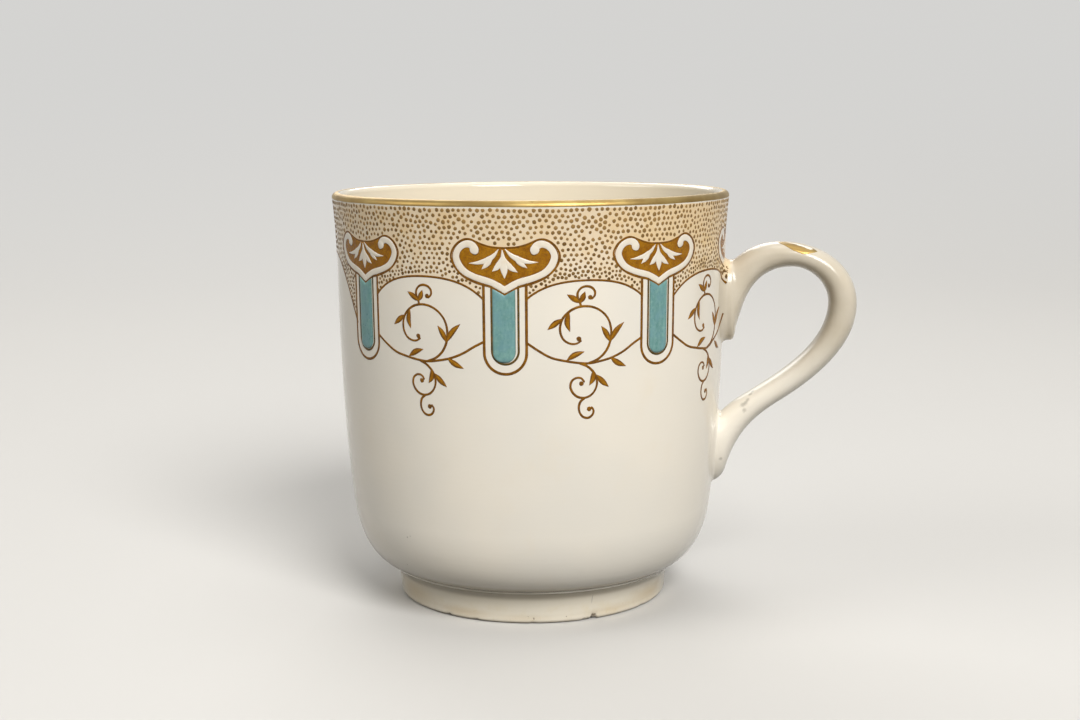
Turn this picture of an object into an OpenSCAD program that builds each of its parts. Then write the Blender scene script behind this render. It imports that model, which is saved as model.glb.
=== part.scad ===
// Footed coffee cup with a spurred loop handle, a gilt lip and enamelled drops.
// The cup's axis is Z, the foot stands on z = 0 and the handle points along +X. Millimetres.

/* [Body] */
// Height from the table to the top of the lip
cup_h = 65.9; // [62:0.1:70]
// Outside radius at the lip
lip_r = 32; // [31.6:0.1:33]
// Outside radius of the upper wall, below the flare of the lip
wall_r = 31.35; // [30.8:0.05:31.5]
// Height at which the upper wall starts to flare
flare_z = 50; // [46:0.5:54]
// Outside radius at the top of the belly
belly_r = 29.5; // [28.5:0.1:30.5]
// Height of the top of the belly
belly_z = 16.2; // [14:0.2:19]
// Thickness of the wall at the lip
lip_t = 1.7; // [1.2:0.1:2.2]
// Thickness of the wall at the belly
base_t = 2.4; // [2:0.1:3]
// Thickness of the floor
floor_t = 3; // [2.2:0.1:4]

/* [Foot] */
// Height of the foot, up to the body
foot_h = 5.6; // [4.8:0.1:6]
// Outside radius of the foot at the body
foot_top_r = 23.6; // [23:0.1:24.2]
// Outside radius of the foot at the table
foot_r = 22; // [21:0.1:22.4]
// Inside radius of the foot at the table
foot_in_r = 18.4; // [16.5:0.1:19]
// Rounding of the foot's two lower edges
foot_edge = 0.6; // [0.3:0.1:1]
// Thickness of the slip between foot and body
foot_slip_t = 0.35; // [0.3:0.05:0.8]

/* [Handle] */
// Distance from the cup's axis to the far side of the handle
handle_reach = 52.5; // [50:0.5:56]
// Height of the top of the handle
handle_top = 57.8; // [56.5:0.1:60]
// Height at which the handle stands out furthest
bulge_z = 47.7; // [46:0.1:49]
// Thickness of the strap at the top of the loop
strap_t_top = 4; // [3.4:0.05:4.6]
// Thickness of the strap at the far side of the loop
strap_t_side = 4.5; // [3.8:0.05:5.2]
// Thickness of the strap in the lower arm
strap_t_arm = 3.9; // [3.4:0.05:4.6]
// Width of the strap across the loop
strap_w = 6.6; // [5:0.1:8]
// Width of the two roots at the wall
root_w = 8.4; // [7:0.1:10]
// Height of the top of the upper root
upper_root_z = 54.8; // [53.5:0.1:55.5]
// Height of the end of the spur below the upper root
spur_z = 41.8; // [40:0.1:43]
// Height of the top of the lower root
lower_root_z = 30; // [29:0.1:31]
// Height of the end of the tail below the lower root
tail_z = 18.6; // [17.5:0.1:20]
// Thickness of the slip under the upper root
upper_slip_t = 1.1; // [0.8:0.05:1.3]
// Thickness of the slip under the lower root
lower_slip_t = 0.5; // [0.4:0.05:0.8]
// How far the slip is wiped out over the wall above and below each root
slip_spread = 0.7; // [0.4:0.1:1]
// How far the slip is wiped out over the wall to each side of a root
slip_side = 3.2; // [2:0.1:4]

/* [Decoration] */
// Thickness of the gilding
gilt_t = 0.1; // [0.08:0.01:0.2]
// How far round the lip the gilding goes on the inside, in degrees from the outside
gilt_wrap = 100; // [90:5:150]
// Number of places for drops round the border; the handle's and the one opposite stay empty
panel_count = 8; // [6:2:10]
// Width of an enamelled drop
drop_w = 3.7; // [3:0.1:4.5]
// Height of the top of a drop
drop_top = 53; // [51:0.1:54]
// Height of the bottom of a drop
drop_bottom = 42.4; // [40:0.1:45]
// Depth of the notch in the top of a drop
drop_notch = 0.8; // [0:0.1:1.5]
// Thickness of the enamel
enamel_t = 0.2; // [0.15:0.05:0.4]
// Length of the gilt stroke on the handle, as a share of the top bend
dash_len = 0.35; // [0.2:0.01:0.5]
// Greatest half width of the gilt stroke, in degrees round the strap
dash_half = 31; // [12:1:36]

/* [Hidden] */
drop_turns = [for (i = [1 : panel_count - 1]) if (2 * i != panel_count) 360 * i / panel_count];
drop_count = len(drop_turns);

$fn = 96;
lip_z = cup_h - lip_t / 2;
lip_centre = [lip_r - lip_t / 2, lip_z];
floor_z = foot_h + floor_t;
china = "#EFE6D3";
gold = "#C9A24A";
turquoise = "#6FA8A4";

// Point at t on the cubic curve with control points p, and n steps along it
function bez(p, t) =
    pow(1 - t, 3) * p[0] + 3 * t * pow(1 - t, 2) * p[1] + 3 * t * t * (1 - t) * p[2] + pow(t, 3) * p[3];
function curve(p, n, first = 0) = [for (i = [first : n]) bez(p, i / n)];
function flip(list) = [for (i = [len(list) - 1 : -1 : 0]) list[i]];
function arc(centre, r, from, to, n) =
    [for (i = [0 : n]) let (a = from + (to - from) * i / n) centre + r * [cos(a), sin(a)]];

// Outside of the body as (radius, height), from the foot up: belly, wall and flare
belly = [[foot_top_r + 0.2, foot_h], [27, 6.8], [belly_r - 0.55, belly_z - 5.6], [belly_r, belly_z]];
wall = [[belly_r, belly_z], [belly_r + 0.8, belly_z + 6.5], [wall_r - 0.15, 34], [wall_r, flare_z]];
flare = [[wall_r, flare_z], [wall_r + 0.05, flare_z + 6], [lip_r - 0.5, lip_z - 4.1], [lip_r, lip_z]];
outside = concat(curve(belly, 14), curve(wall, 10, 1), curve(flare, 6, 1));

// Inside of the body: the same curves less a thickness that grows downwards
function wall_t(z) = lip_t + (base_t - lip_t) * (lip_z - z) / (lip_z - belly_z);
function inset(p) = [for (c = p) [c[0] - wall_t(c[1]), c[1]]];
floor_r = 17;
belly_in = [[floor_r, floor_z], [24, floor_z], [26.7, belly_z - 4.7], [belly_r - base_t, belly_z]];
inside = concat(curve(belly_in, 10), curve(inset(wall), 8, 1), curve(inset(flare), 5, 1));

// Outside radius of the body at a height, and a point on its +X side
outside_by_z = [for (p = outside) [p[1], p[0]]];
function radius_at(z) = lookup(z, outside_by_z);
function on_wall(y, z, off) = let (r = radius_at(z) + off) [sqrt(r * r - y * y), y, z];

// Edges of the handle as (x, z): outer edge and inner edge, root to root
crest = [wall_r + 9, handle_top];
bulge = [handle_reach, bulge_z];
elbow = [wall_r + 9, lower_root_z + 1.9];
crest_in = crest + [1.9, -strap_t_top];
bulge_in = bulge + [-strap_t_side, 0.4];
elbow_in = elbow + strap_t_arm * [-0.66, 0.75];
heel = [radius_at(tail_z) + 2.1, tail_z + 1.9];
spur_front = [wall_r + 2.05, spur_z + 2.4];
function slip_face(z, t) = [radius_at(z) + t, z];
upper_end = slip_face(upper_root_z, upper_slip_t);
spur_end = slip_face(spur_z, upper_slip_t);
lower_end = slip_face(lower_root_z, lower_slip_t);
tail_end = slip_face(tail_z, lower_slip_t);
out_upper = [upper_end, upper_end + [1, 0], crest - [5.4, 0.1], crest];
out_top = [crest, crest + [6.4, 0], bulge + [0, 6.4], bulge];
out_side = [bulge, bulge - [0, 6.8], elbow + [5.5, 3.6], elbow];
out_heel = [elbow, elbow - [4.9, 3.2], heel + [1.5, 5.2], heel];
out_tail = [heel, heel - [0.35, 0.9], tail_end + [0.8, 0.5], tail_end];
in_spur = [spur_end, spur_end + [0.9, 0], spur_front - [0.3, 1.6], spur_front];
in_throat = [spur_front, spur_front + [0.9, 2.6], crest_in - [7, 0], crest_in];
in_top = [crest_in, crest_in + [2.7, 0], bulge_in + [0, 3.2], bulge_in];
in_side = [bulge_in, bulge_in - [0, 6.1], elbow_in + [4.1, 2.8], elbow_in];
in_arm = [elbow_in, elbow_in - [3.8, 2.6], lower_end + [2, 2.1], lower_end];

// Sections of the handle: u runs 0 to 4 over upper root, top, side and lower root
spans = 4;
spur_share = 0.3;
tail_share = 0.8;
function two(a, b, share, f) = f < share ? bez(a, f / share) : bez(b, (f - share) / (1 - share));
function outer_edge(u) =
    u <= 1 ? bez(out_upper, u) : u <= 2 ? bez(out_top, u - 1) :
    u <= 3 ? bez(out_side, u - 2) : two(out_heel, out_tail, tail_share, u - 3);
function inner_edge(u) =
    u <= 1 ? two(in_spur, in_throat, spur_share, u) : u <= 2 ? bez(in_top, u - 1) :
    u <= 3 ? bez(in_side, u - 2) : bez(in_arm, u - 3);

// Rounded oval: a is the angle round the section, 0 at the outer edge and 90 on the +Y side.
// Near the wall the strap widens, the upper root most at its top and the lower root most at its top too
roundness = 2.2;
upper_taper = 0.14;
lower_taper = -0.22;
root_reach = 0.85;
function oval(v) = sign(v) * pow(abs(v), 2 / roundness);
function near_root(u) = pow(max(0, 1 - min(u, spans - u) / root_reach), 2);
function taper(u) = u < spans / 2 ? upper_taper : lower_taper;
function half_w(u, a) =
    (strap_w + (root_w - strap_w) * near_root(u)) / 2 * (1 + taper(u) * near_root(u) * cos(a));
function strap_point(u, a, off = 0) =
    let (p = outer_edge(u), q = inner_edge(u), half = (p - q) / 2, grow = 1 + off / norm(half))
    let (c = (p + q) / 2 + half * grow * oval(cos(a)))
    [c[0], (half_w(u, a) + off) * oval(sin(a)), c[1]];

// Rings of points: round the strap, and round a root on the wall, where u is 0 or spans. A root's ring
// is grown in the wall's surface by a share of the slip's spread, or drawn in by a share to close it
ring_sides = 28;
ring_angles = [for (i = [0 : ring_sides - 1]) 360 * i / ring_sides];
cap_steps = [1 / 3, 2 / 3];
function strap_ring(u) = [for (a = ring_angles) strap_point(u, a)];
function root_ends(u) = u < spans / 2 ? [upper_root_z, spur_z] : [tail_z, lower_root_z];
function root_ring(u, off, grow = 0, share = 1) =
    let (ends = root_ends(u), half_z = (ends[0] - ends[1]) / 2)
    let (reach = half_z + sign(half_z) * slip_spread * grow)
    [for (a = ring_angles) on_wall(
        share * (half_w(u, a) + slip_side * grow) * oval(sin(a)),
        (ends[0] + ends[1]) / 2 + share * reach * oval(cos(a)),
        off)];
function root_face(u, off, grow = 0) = [for (s = cap_steps) root_ring(u, off, grow, s)];

// Closed skin over a row of rings with equal numbers of points
function middle(ring) = [for (k = [0 : 2]) [for (p = ring) p[k]] * [for (p = ring) 1 / len(ring)]];
module skin(rings) {
    n = len(rings[0]);
    last = len(rings) - 1;
    points = concat([for (r = rings) each r], [middle(rings[0]), middle(rings[last])]);
    start = n * len(rings);
    sides = [for (i = [0 : last - 1], j = [0 : n - 1])
        let (a = i * n + j, b = i * n + (j + 1) % n) each [[a, b, b + n], [a, b + n, a + n]]];
    first_cap = [for (j = [0 : n - 1]) [start, (j + 1) % n, j]];
    last_cap = [for (j = [0 : n - 1]) [start + 1, last * n + j, last * n + (j + 1) % n]];
    polyhedron(points, concat(first_cap, sides, last_cap));
}

// Turned body with a rounded lip, open at the top
module cup_body() {
    lip = arc(lip_centre, lip_t / 2, 0, 180, 12);
    color(china)
        rotate_extrude()
            polygon(concat([[0, foot_h]], outside, lip, flip(inside), [[0, floor_z]]));
}

// Foot ring: hollow taper outside, flat underneath, rounded at both lower edges
module foot_ring() {
    top_z = foot_h - foot_slip_t;
    waist_z = 1;
    hollow = [
        [foot_r, waist_z], [foot_r + 0.2, waist_z + 1.8],
        [foot_top_r - 1.2, top_z - 0.7], [foot_top_r, top_z]];
    edge_out = arc([foot_r - foot_edge, foot_edge], foot_edge, -90, 0, 6);
    edge_in = arc([foot_in_r + foot_edge, foot_edge], foot_edge, 180, 270, 6);
    color(china)
        rotate_extrude()
            polygon(concat(edge_out, curve(hollow, 8), [[foot_in_r + 0.5, top_z]], edge_in));
}

// Bead of slip between foot and body
module foot_slip_joint() {
    r = foot_slip_t / 2;
    bead = arc([foot_top_r, foot_h - r], r, -90, 90, 8);
    color(china)
        rotate_extrude()
            polygon(concat(bead, [[foot_in_r + 0.5, foot_h], [foot_in_r + 0.5, foot_h - foot_slip_t]]));
}

// Strap lofted root to root, with both ends shaped to the wall
module handle() {
    rings_a_span = 12;
    rings = [for (i = [1 : spans * rings_a_span - 1]) strap_ring(i / rings_a_span)];
    color(china)
        skin(concat(
            root_face(0, upper_slip_t),
            [root_ring(0, upper_slip_t)],
            rings,
            [root_ring(spans, lower_slip_t)],
            flip(root_face(spans, lower_slip_t))));
}

// Pad of slip between wall and root, wiped out round the root in a hollow fillet
module slip_pad(u, t) {
    seat = 0.03;
    steps = 6;
    fillet = [for (i = [0 : steps]) let (a = 90 - 90 * i / steps)
        root_ring(u, max(seat, t * (1 - sin(a))), 1 - cos(a))];
    color(china)
        skin(concat(root_face(u, seat, 1), fillet, flip(root_face(u, t))));
}

module upper_slip_joint() {
    slip_pad(0, upper_slip_t);
}

module lower_slip_joint() {
    slip_pad(spans, lower_slip_t);
}

// Gold over the top of the lip
module gilt_rim_line() {
    outer = arc(lip_centre, lip_t / 2 + gilt_t, 0, gilt_wrap, 14);
    inner = arc(lip_centre, lip_t / 2, 0, gilt_wrap, 14);
    color(gold)
        rotate_extrude()
            polygon(concat(outer, flip(inner)));
}

// Gold brush stroke on the near shoulder of the strap, bowed away from the crest
module handle_gilt_dash() {
    steps = 14;
    across = 5;
    tip = 0.12;
    start = 0.97;
    lean = -18;
    slant = -20;
    bow = -17;
    function half(f) = dash_half * max(tip, pow(sin(180 * f), 0.7));
    function middle_at(f) = lean + slant * f + bow * sin(180 * f);
    function at(f, v, off) = strap_point(start + dash_len * f, middle_at(f) + half(f) * v, off);
    color(gold)
        skin([for (i = [0 : steps]) let (f = i / steps) concat(
            [for (j = [0 : across]) at(f, 1 - 2 * j / across, 0)],
            [for (j = [0 : across]) at(f, 2 * j / across - 1, gilt_t)])]);
}

// Enamel in one hanging drop: a skin on the wall, round below and notched above
module enamel_drop(i) {
    steps = 10;
    spread = 10;
    margin = 1;
    low = drop_bottom - margin;
    rows = [for (k = [0 : steps]) low + (drop_top + margin - low) * k / steps];
    r = drop_w / 2;
    outline = concat(
        arc([0, drop_bottom + r], r, 180, 360, 16),
        [[r, drop_top], [0, drop_top - drop_notch], [-r, drop_top]]);
    color(turquoise)
        rotate(drop_turns[i - 1])
            intersection() {
                rotate(-spread)
                    rotate_extrude(angle = 2 * spread)
                        polygon(concat(
                            [for (z = rows) [radius_at(z) + enamel_t, z]],
                            flip([for (z = rows) [radius_at(z), z]])));
                rotate([90, 0, 90])
                    linear_extrude(lip_r + margin)
                        polygon(outline);
            }
}

cup_body();
foot_ring();
foot_slip_joint();
handle();
upper_slip_joint();
lower_slip_joint();
gilt_rim_line();
handle_gilt_dash();
for (i = [1 : drop_count])
    enamel_drop(i);
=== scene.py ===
import bpy
import math
import numpy as np
from mathutils import Matrix, Vector


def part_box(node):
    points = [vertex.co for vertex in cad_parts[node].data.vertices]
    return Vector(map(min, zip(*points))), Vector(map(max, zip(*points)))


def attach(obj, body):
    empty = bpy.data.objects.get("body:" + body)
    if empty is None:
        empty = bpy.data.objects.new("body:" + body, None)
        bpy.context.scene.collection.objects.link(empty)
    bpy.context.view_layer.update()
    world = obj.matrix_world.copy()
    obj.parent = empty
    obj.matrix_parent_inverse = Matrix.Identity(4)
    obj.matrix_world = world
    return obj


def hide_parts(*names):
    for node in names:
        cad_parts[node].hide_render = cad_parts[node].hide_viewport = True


# Small footed coffee cup: turned body, stuck-on foot, loop handle, gilt lip and a printed border.
# Shapes are worked out in millimetres in the frame's own axes and put into meshes in metres.

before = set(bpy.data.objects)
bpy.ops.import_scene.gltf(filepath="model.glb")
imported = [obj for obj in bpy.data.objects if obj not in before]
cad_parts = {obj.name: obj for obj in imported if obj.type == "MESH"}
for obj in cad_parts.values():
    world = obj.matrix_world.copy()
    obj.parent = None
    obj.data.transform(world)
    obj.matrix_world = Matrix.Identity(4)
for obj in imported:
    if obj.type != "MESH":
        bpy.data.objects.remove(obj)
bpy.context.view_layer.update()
mm = 0.001
rng = np.random.default_rng(7)


# lowest and highest corner of a node of the frame, in millimetres
def nodeBox(name):
    low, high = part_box(name)
    return np.array(low) / mm, np.array(high) / mm


bodyLow, bodyHigh = nodeBox("cup_body")
_, footHigh = nodeBox("foot_ring")
_, handleHigh = nodeBox("handle")
dropLow, _ = nodeBox("enamel_drop_2")

# turned body: radii and heights of the places where its curves meet
cup = dict(
    lipRadius=bodyHigh[0], height=bodyHigh[2], seatHeight=bodyLow[2], seatRadius=footHigh[0] + 0.2,
    wallRadius=31.35, flareHeight=50.0, bellyRadius=29.5, bellyHeight=16.2,
    lipThick=1.7, baseThick=2.4, floorThick=3.0, floorRadius=17.0,
    turns=288, pole=0.8,
)
# foot: flared wall, rounded lower edges, and the dents of long use as (degrees, width, depth)
foot = dict(
    topRadius=footHigh[0], topHeight=footHigh[2], radius=22.0, innerRadius=18.4, lean=0.5, edge=0.6,
    waist=1.0, turns=720, nickHeight=0.9, nickIn=0.7, nickRagged=0.35,
    nicks=((-57.0, 0.55, 0.26), (-60.0, 0.8, 0.1), (-82.5, 0.4, 0.06), (-107, 0.6, 0.06), (-120, 0.6, 0.09),
           (-30, 0.7, 0.06), (24, 1.2, 0.14), (77, 0.6, 0.1), (140, 1.5, 0.14), (196, 0.8, 0.12)),
)


# cubic curve: four control points weighted by the Bernstein terms at t
def cubicAt(points, t):
    t = np.asarray(t, float)[..., None]
    a, b, c, d = np.array(points, float)
    return (1 - t) ** 3 * a + 3 * t * (1 - t) ** 2 * b + 3 * t * t * (1 - t) * c + t ** 3 * d


# several cubic curves end to end, each in its own number of even steps
def chain(*curves):
    pieces = [cubicAt(points, np.linspace(0, 1, count + 1)[1:]) for points, count in curves]
    return np.concatenate([np.array(curves[0][0][:1], float)] + pieces)


# arc of a circle between two angles in degrees
def arc(centre, radius, fromDeg, toDeg, count):
    a = np.radians(np.linspace(fromDeg, toDeg, count))
    return np.array(centre) + radius * np.stack([np.cos(a), np.sin(a)], 1)


# profile (radius, height) turned about Z: one ring of points for each profile point
def turned(profile, count):
    a = np.arange(count) * 2 * np.pi / count
    r, z = profile[:, :1], profile[:, 1:]
    return np.stack([r * np.cos(a), r * np.sin(a), z + 0 * a], -1)


# level stretch of a profile: even steps of radius at one height
def level(fromRadius, toRadius, height, count=10):
    return np.stack([np.linspace(fromRadius, toRadius, count), np.full(count, height)], 1)


# quads of n rings of m points: two neighbours on a ring and the same two on the next
def gridQuads(n, m, closed=False):
    i, j = np.meshgrid(np.arange(n if closed else n - 1), np.arange(m), indexing="ij")
    here, there, nextJ = i * m, (i + 1) % n * m, (j + 1) % m
    return np.stack([here + j, here + nextJ, there + nextJ, there + j], -1).reshape(-1, 4)


# closed skin over rings of equal length: neighbours joined by quads, both ends closed by a fan
def skin(rings):
    n, m, _ = rings.shape
    ends = np.stack([rings[0].mean(0), rings[-1].mean(0)])
    verts = np.concatenate([rings.reshape(-1, 3), ends])
    quads = gridQuads(n, m)
    k = np.arange(m)
    nextK, last = (k + 1) % m, (n - 1) * m
    first = np.stack([n * m + 0 * k, nextK, k], 1)
    final = np.stack([n * m + 1 + 0 * k, last + k, last + nextK], 1)
    return turnOut(verts, quads, np.concatenate([first, final]))


# closed skin over rings that lead back to the first: neighbours joined by quads both ways round
def hoop(rings):
    n, m, _ = rings.shape
    return turnOut(rings.reshape(-1, 3), gridQuads(n, m, True), np.zeros((0, 3), int))


# values for the points of such a skin whose rings go over its top and back beneath, none for the two ends
def overAndBack(values):
    return np.append(np.concatenate([values, values[:, ::-1]], 1).ravel(), [0, 0])


# the same faces, reversed if the volume they enclose comes out negative
def turnOut(verts, quads, tris):
    allTris = np.concatenate([quads[:, [0, 1, 2]], quads[:, [0, 2, 3]], tris])
    p = verts[allTris]
    volume = np.einsum("ij,ij->i", p[:, 0], np.cross(p[:, 1], p[:, 2])).sum()
    return (verts, quads, tris) if volume > 0 else (verts, quads[:, ::-1], tris[:, ::-1])


# several skins as one: vertex numbers of each shifted past those before it
def joined(parts):
    starts = np.cumsum([0] + [len(p[0]) for p in parts[:-1]])
    return tuple(np.concatenate([p[k] + (s if k else 0) for p, s in zip(parts, starts)]) for k in range(3))


# object made from its data and put into the scene
def placed(name, data):
    thing = bpy.data.objects.new(name, data)
    bpy.context.scene.collection.objects.link(thing)
    return thing


# mesh object in metres from a skin in millimetres, riding on the cup; values are attributes by point
def addPiece(name, part, material, replaces=(), normals=None, values=None, sharpDeg=None):
    verts, quads, tris = part
    mesh = bpy.data.meshes.new(name)
    mesh.from_pydata((verts * mm).tolist(), [], quads.tolist() + tris.tolist())
    mesh.shade_smooth()
    if sharpDeg:
        mesh.set_sharp_from_angle(angle=math.radians(sharpDeg))
    if normals is not None:
        mesh.normals_split_custom_set_from_vertices(normals.tolist())
    for key, data in (values or {}).items():
        mesh.attributes.new(key, "FLOAT", "POINT").data.foreach_set("value", data.astype(np.float32))
    mesh.materials.append(material)
    piece = placed(name, mesh)
    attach(piece, "root")
    if replaces:
        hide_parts(*replaces)


# wraps an output socket: operators add Math nodes, node() adds any other kind
class Wire:
    def __init__(self, tree, socket=None):
        self.tree, self.socket = tree, socket

    def node(self, kind, settings=None, sockets=None, out=0):
        made = self.tree.nodes.new(kind)
        for key, value in (settings or {}).items():
            setattr(made, key, value)
        for key, value in (sockets or {}).items():
            if isinstance(value, Wire):
                self.tree.links.new(value.socket, made.inputs[key])
            else:
                made.inputs[key].default_value = value
        return Wire(self.tree, made.outputs[out] if len(made.outputs) else None)

    def math(self, operation, a, b=0.0):
        return self.node("ShaderNodeMath", {"operation": operation}, {0: a, 1: b})

    def __add__(self, other):
        return self.math("ADD", self, other)

    def __radd__(self, other):
        return self.math("ADD", other, self)

    def __sub__(self, other):
        return self.math("SUBTRACT", self, other)

    def __rsub__(self, other):
        return self.math("SUBTRACT", other, self)

    def __mul__(self, other):
        return self.math("MULTIPLY", self, other)

    def __rmul__(self, other):
        return self.math("MULTIPLY", other, self)

    def __truediv__(self, other):
        return self.math("DIVIDE", self, other)

    def __pow__(self, other):
        return self.math("POWER", self, other)


# new material: its shader with fixed values, and a Wire of the object coordinates in millimetres
def newFinish(name, fixed):
    material = bpy.data.materials.new(name)
    material.use_nodes = True
    tree = material.node_tree
    shader = tree.nodes["Principled BSDF"]
    for key, value in fixed.items():
        shader.inputs[key].default_value = value
    spot = Wire(tree).node("ShaderNodeTexCoord", out=3)
    spot = spot.node("ShaderNodeVectorMath", {"operation": "SCALE"}, {0: spot, "Scale": 1 / mm})
    return material, shader, spot


# link of a value or colour to one of a shader's sockets
def feed(shader, socket, wire):
    wire.tree.links.new(wire.socket, shader.inputs[socket])


# noise from 0 to 1 with the given grain size in millimetres
def noise(spot, grain, detail=3.0, rough=0.55, stretch=None):
    if stretch:
        spot = spot.node("ShaderNodeVectorMath", {"operation": "MULTIPLY"}, {0: spot, 1: stretch})
    return spot.node("ShaderNodeTexNoise", {"noise_dimensions": "3D"}, {
        "Vector": spot, "Scale": 1 / grain, "Detail": detail, "Roughness": rough})


# 0 below low, 1 above high, smooth between
def smooth(value, low, high):
    return value.node("ShaderNodeMapRange", {"interpolation_type": "SMOOTHSTEP"}, {
        "Value": value, "From Min": low, "From Max": high})


# patches: noise of a grain and detail, 0 where it is below low and 1 where it is above high
def patches(spot, grain, detail, low, high, rough=0.55):
    return smooth(noise(spot, grain, detail, rough), low, high)


# colour a where the mask is 0, colour b where it is 1
def mixed(mask, a, b):
    sides = {6: a if isinstance(a, Wire) else (*a, 1), 7: b if isinstance(b, Wire) else (*b, 1)}
    return mask.node("ShaderNodeMix", {"data_type": "RGBA"}, {0: mask, **sides}, out=2)


# x, y and z of a place
def split(spot):
    return [spot.node("ShaderNodeSeparateXYZ", None, {0: spot}, out=k) for k in range(3)]


# distance of a place from the cup's axis
def fromAxis(x, y):
    return x.math("SQRT", x * x + y * y)


# value that a piece's mesh holds for each of its points
def byPoint(spot, name):
    return spot.node("ShaderNodeAttribute", {"attribute_name": name}, out=2)


# distance from the nearest of scattered middles, with so many cells to a millimetre
def cells(spot, density):
    return spot.node("ShaderNodeTexVoronoi", {"feature": "F1"}, {"Vector": spot, "Scale": density})


# surface raised by a height of 0 to 1 times a distance in millimetres
def bumped(shader, height, distance):
    feed(shader, "Normal", height.node("ShaderNodeBump", None, {
        "Strength": 1.0, "Distance": distance * mm, "Height": height}))


# material with its colour, roughness and relief linked to its shader
def finished(material, shader, colour, rough, height, distance):
    feed(shader, "Base Color", colour)
    feed(shader, "Roughness", rough)
    bumped(shader, height, distance)
    return material


# distance from a fixed point, for single marks on a surface
def distanceTo(spot, point):
    return spot.node("ShaderNodeVectorMath", {"operation": "DISTANCE"}, {0: spot, 1: point}, out=1)


# patches in every finish are (grain, detail, low, high, roughness if it isn't 0.55)

# glaze: its colours, shine, patches and marks
glaze = dict(
    cream=(0.80, 0.755, 0.665), cool=(0.755, 0.725, 0.655), warm=(0.78, 0.69, 0.54),
    inner=(0.66, 0.59, 0.455), stain=(0.42, 0.27, 0.12), speck=(0.16, 0.11, 0.07),
    grime=(0.27, 0.25, 0.21), creaseShade=(0.25, 0.205, 0.13), gloss=0.09, speckCells=0.28, turningLines=7.5,
    specks=((-16.23, -24.26, 13.98, 0.24), (-15.7, -24.67, 14.26, 0.19),
            (6.4, -30.2, 27.5, 0.17), (19.5, 21.0, 14.5, 0.22)),  # single ones as (x, y, z, size)
    crease=(0.2, 1.5), creaseFrom=(21.0, 22.0), creaseShadeShare=0.55,  # painted shade in the crease above the seat, by height and radius
    drift=(22.0, 2.0, 0.35, 0.7), warmth=(9.0, 4.0, 0.55, 0.85), rare=(6.0, 1.0, 0.62, 0.66),
    dull=(5.0, 4.0, 0.5, 0.9),
)


# cream glaze: slow drift of tone, a few specks, faint turning lines as a sine of height, a soft unevenness
def glazeBase(spot):
    colour = mixed(patches(spot, *glaze["drift"]), glaze["cream"], glaze["cool"])
    colour = mixed(patches(spot, *glaze["warmth"]) * 0.35, colour, glaze["warm"])
    middles = 1 - smooth(cells(spot, glaze["speckCells"]), 0.012, 0.03)
    specks = middles * patches(spot, *glaze["rare"])
    colour = mixed(specks * 0.7, colour, glaze["speck"])
    _, _, z = split(spot)
    lines = z.math("SINE", z * glaze["turningLines"] + noise(spot, 14.0, 1.0) * 6.0)
    height = noise(spot, 3.2, 2.0) * 0.8 + lines * 0.05 + noise(spot, 0.5, 1.0) * 0.06 - specks * 0.5
    rough = glaze["gloss"] + patches(spot, *glaze["dull"]) * 0.12
    return colour, rough, height


# border: panels round the cup, their arches, the drops between them, and the wash of the ground, which is
# uneven in patches, fuller upwards and deeper towards the handle
border = dict(
    panels=8, archTop=54.37, archRise=2.62, archHalf=8.9, archWidth=0.36, backWidth=0.38,
    dropHalf=3.12, dropTop=53.6, lastDrop=3, raisedPanel=5, raisedBy=0.4,
    ground=(0.75, 0.565, 0.325), groundTop=64.95, topFade=0.3, blur=0.12, dropBlur=0.1, dropFade=(0.3, 0.6),
    uneven=(2.4, 4.0, 0.3, 0.75), fuller=(55.0, 62.0), deeper=(12.0, 29.0),
)
panelAngle = 2 * math.pi / border["panels"]


# arch over a panel: a square and a fourth power of the distance from the panel's middle
def archHeight(arcFromMiddle):
    q = arcFromMiddle / border["archHalf"]
    return border["archTop"] - border["archRise"] * (q * q * 0.55 + q * q * q * q * 0.45)


# ground behind the last drops: its lower edge is level at the back and falls towards the drop
back = dict(level=56.65, fall=9.95, start=3.3, reach=12.0, power=2.3)


# lower edge of that ground at a share of its reach: the level less the fall times a power of what is left
def backHeight(share):
    return back["level"] - (1 - share) ** back["power"] * back["fall"]
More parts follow.
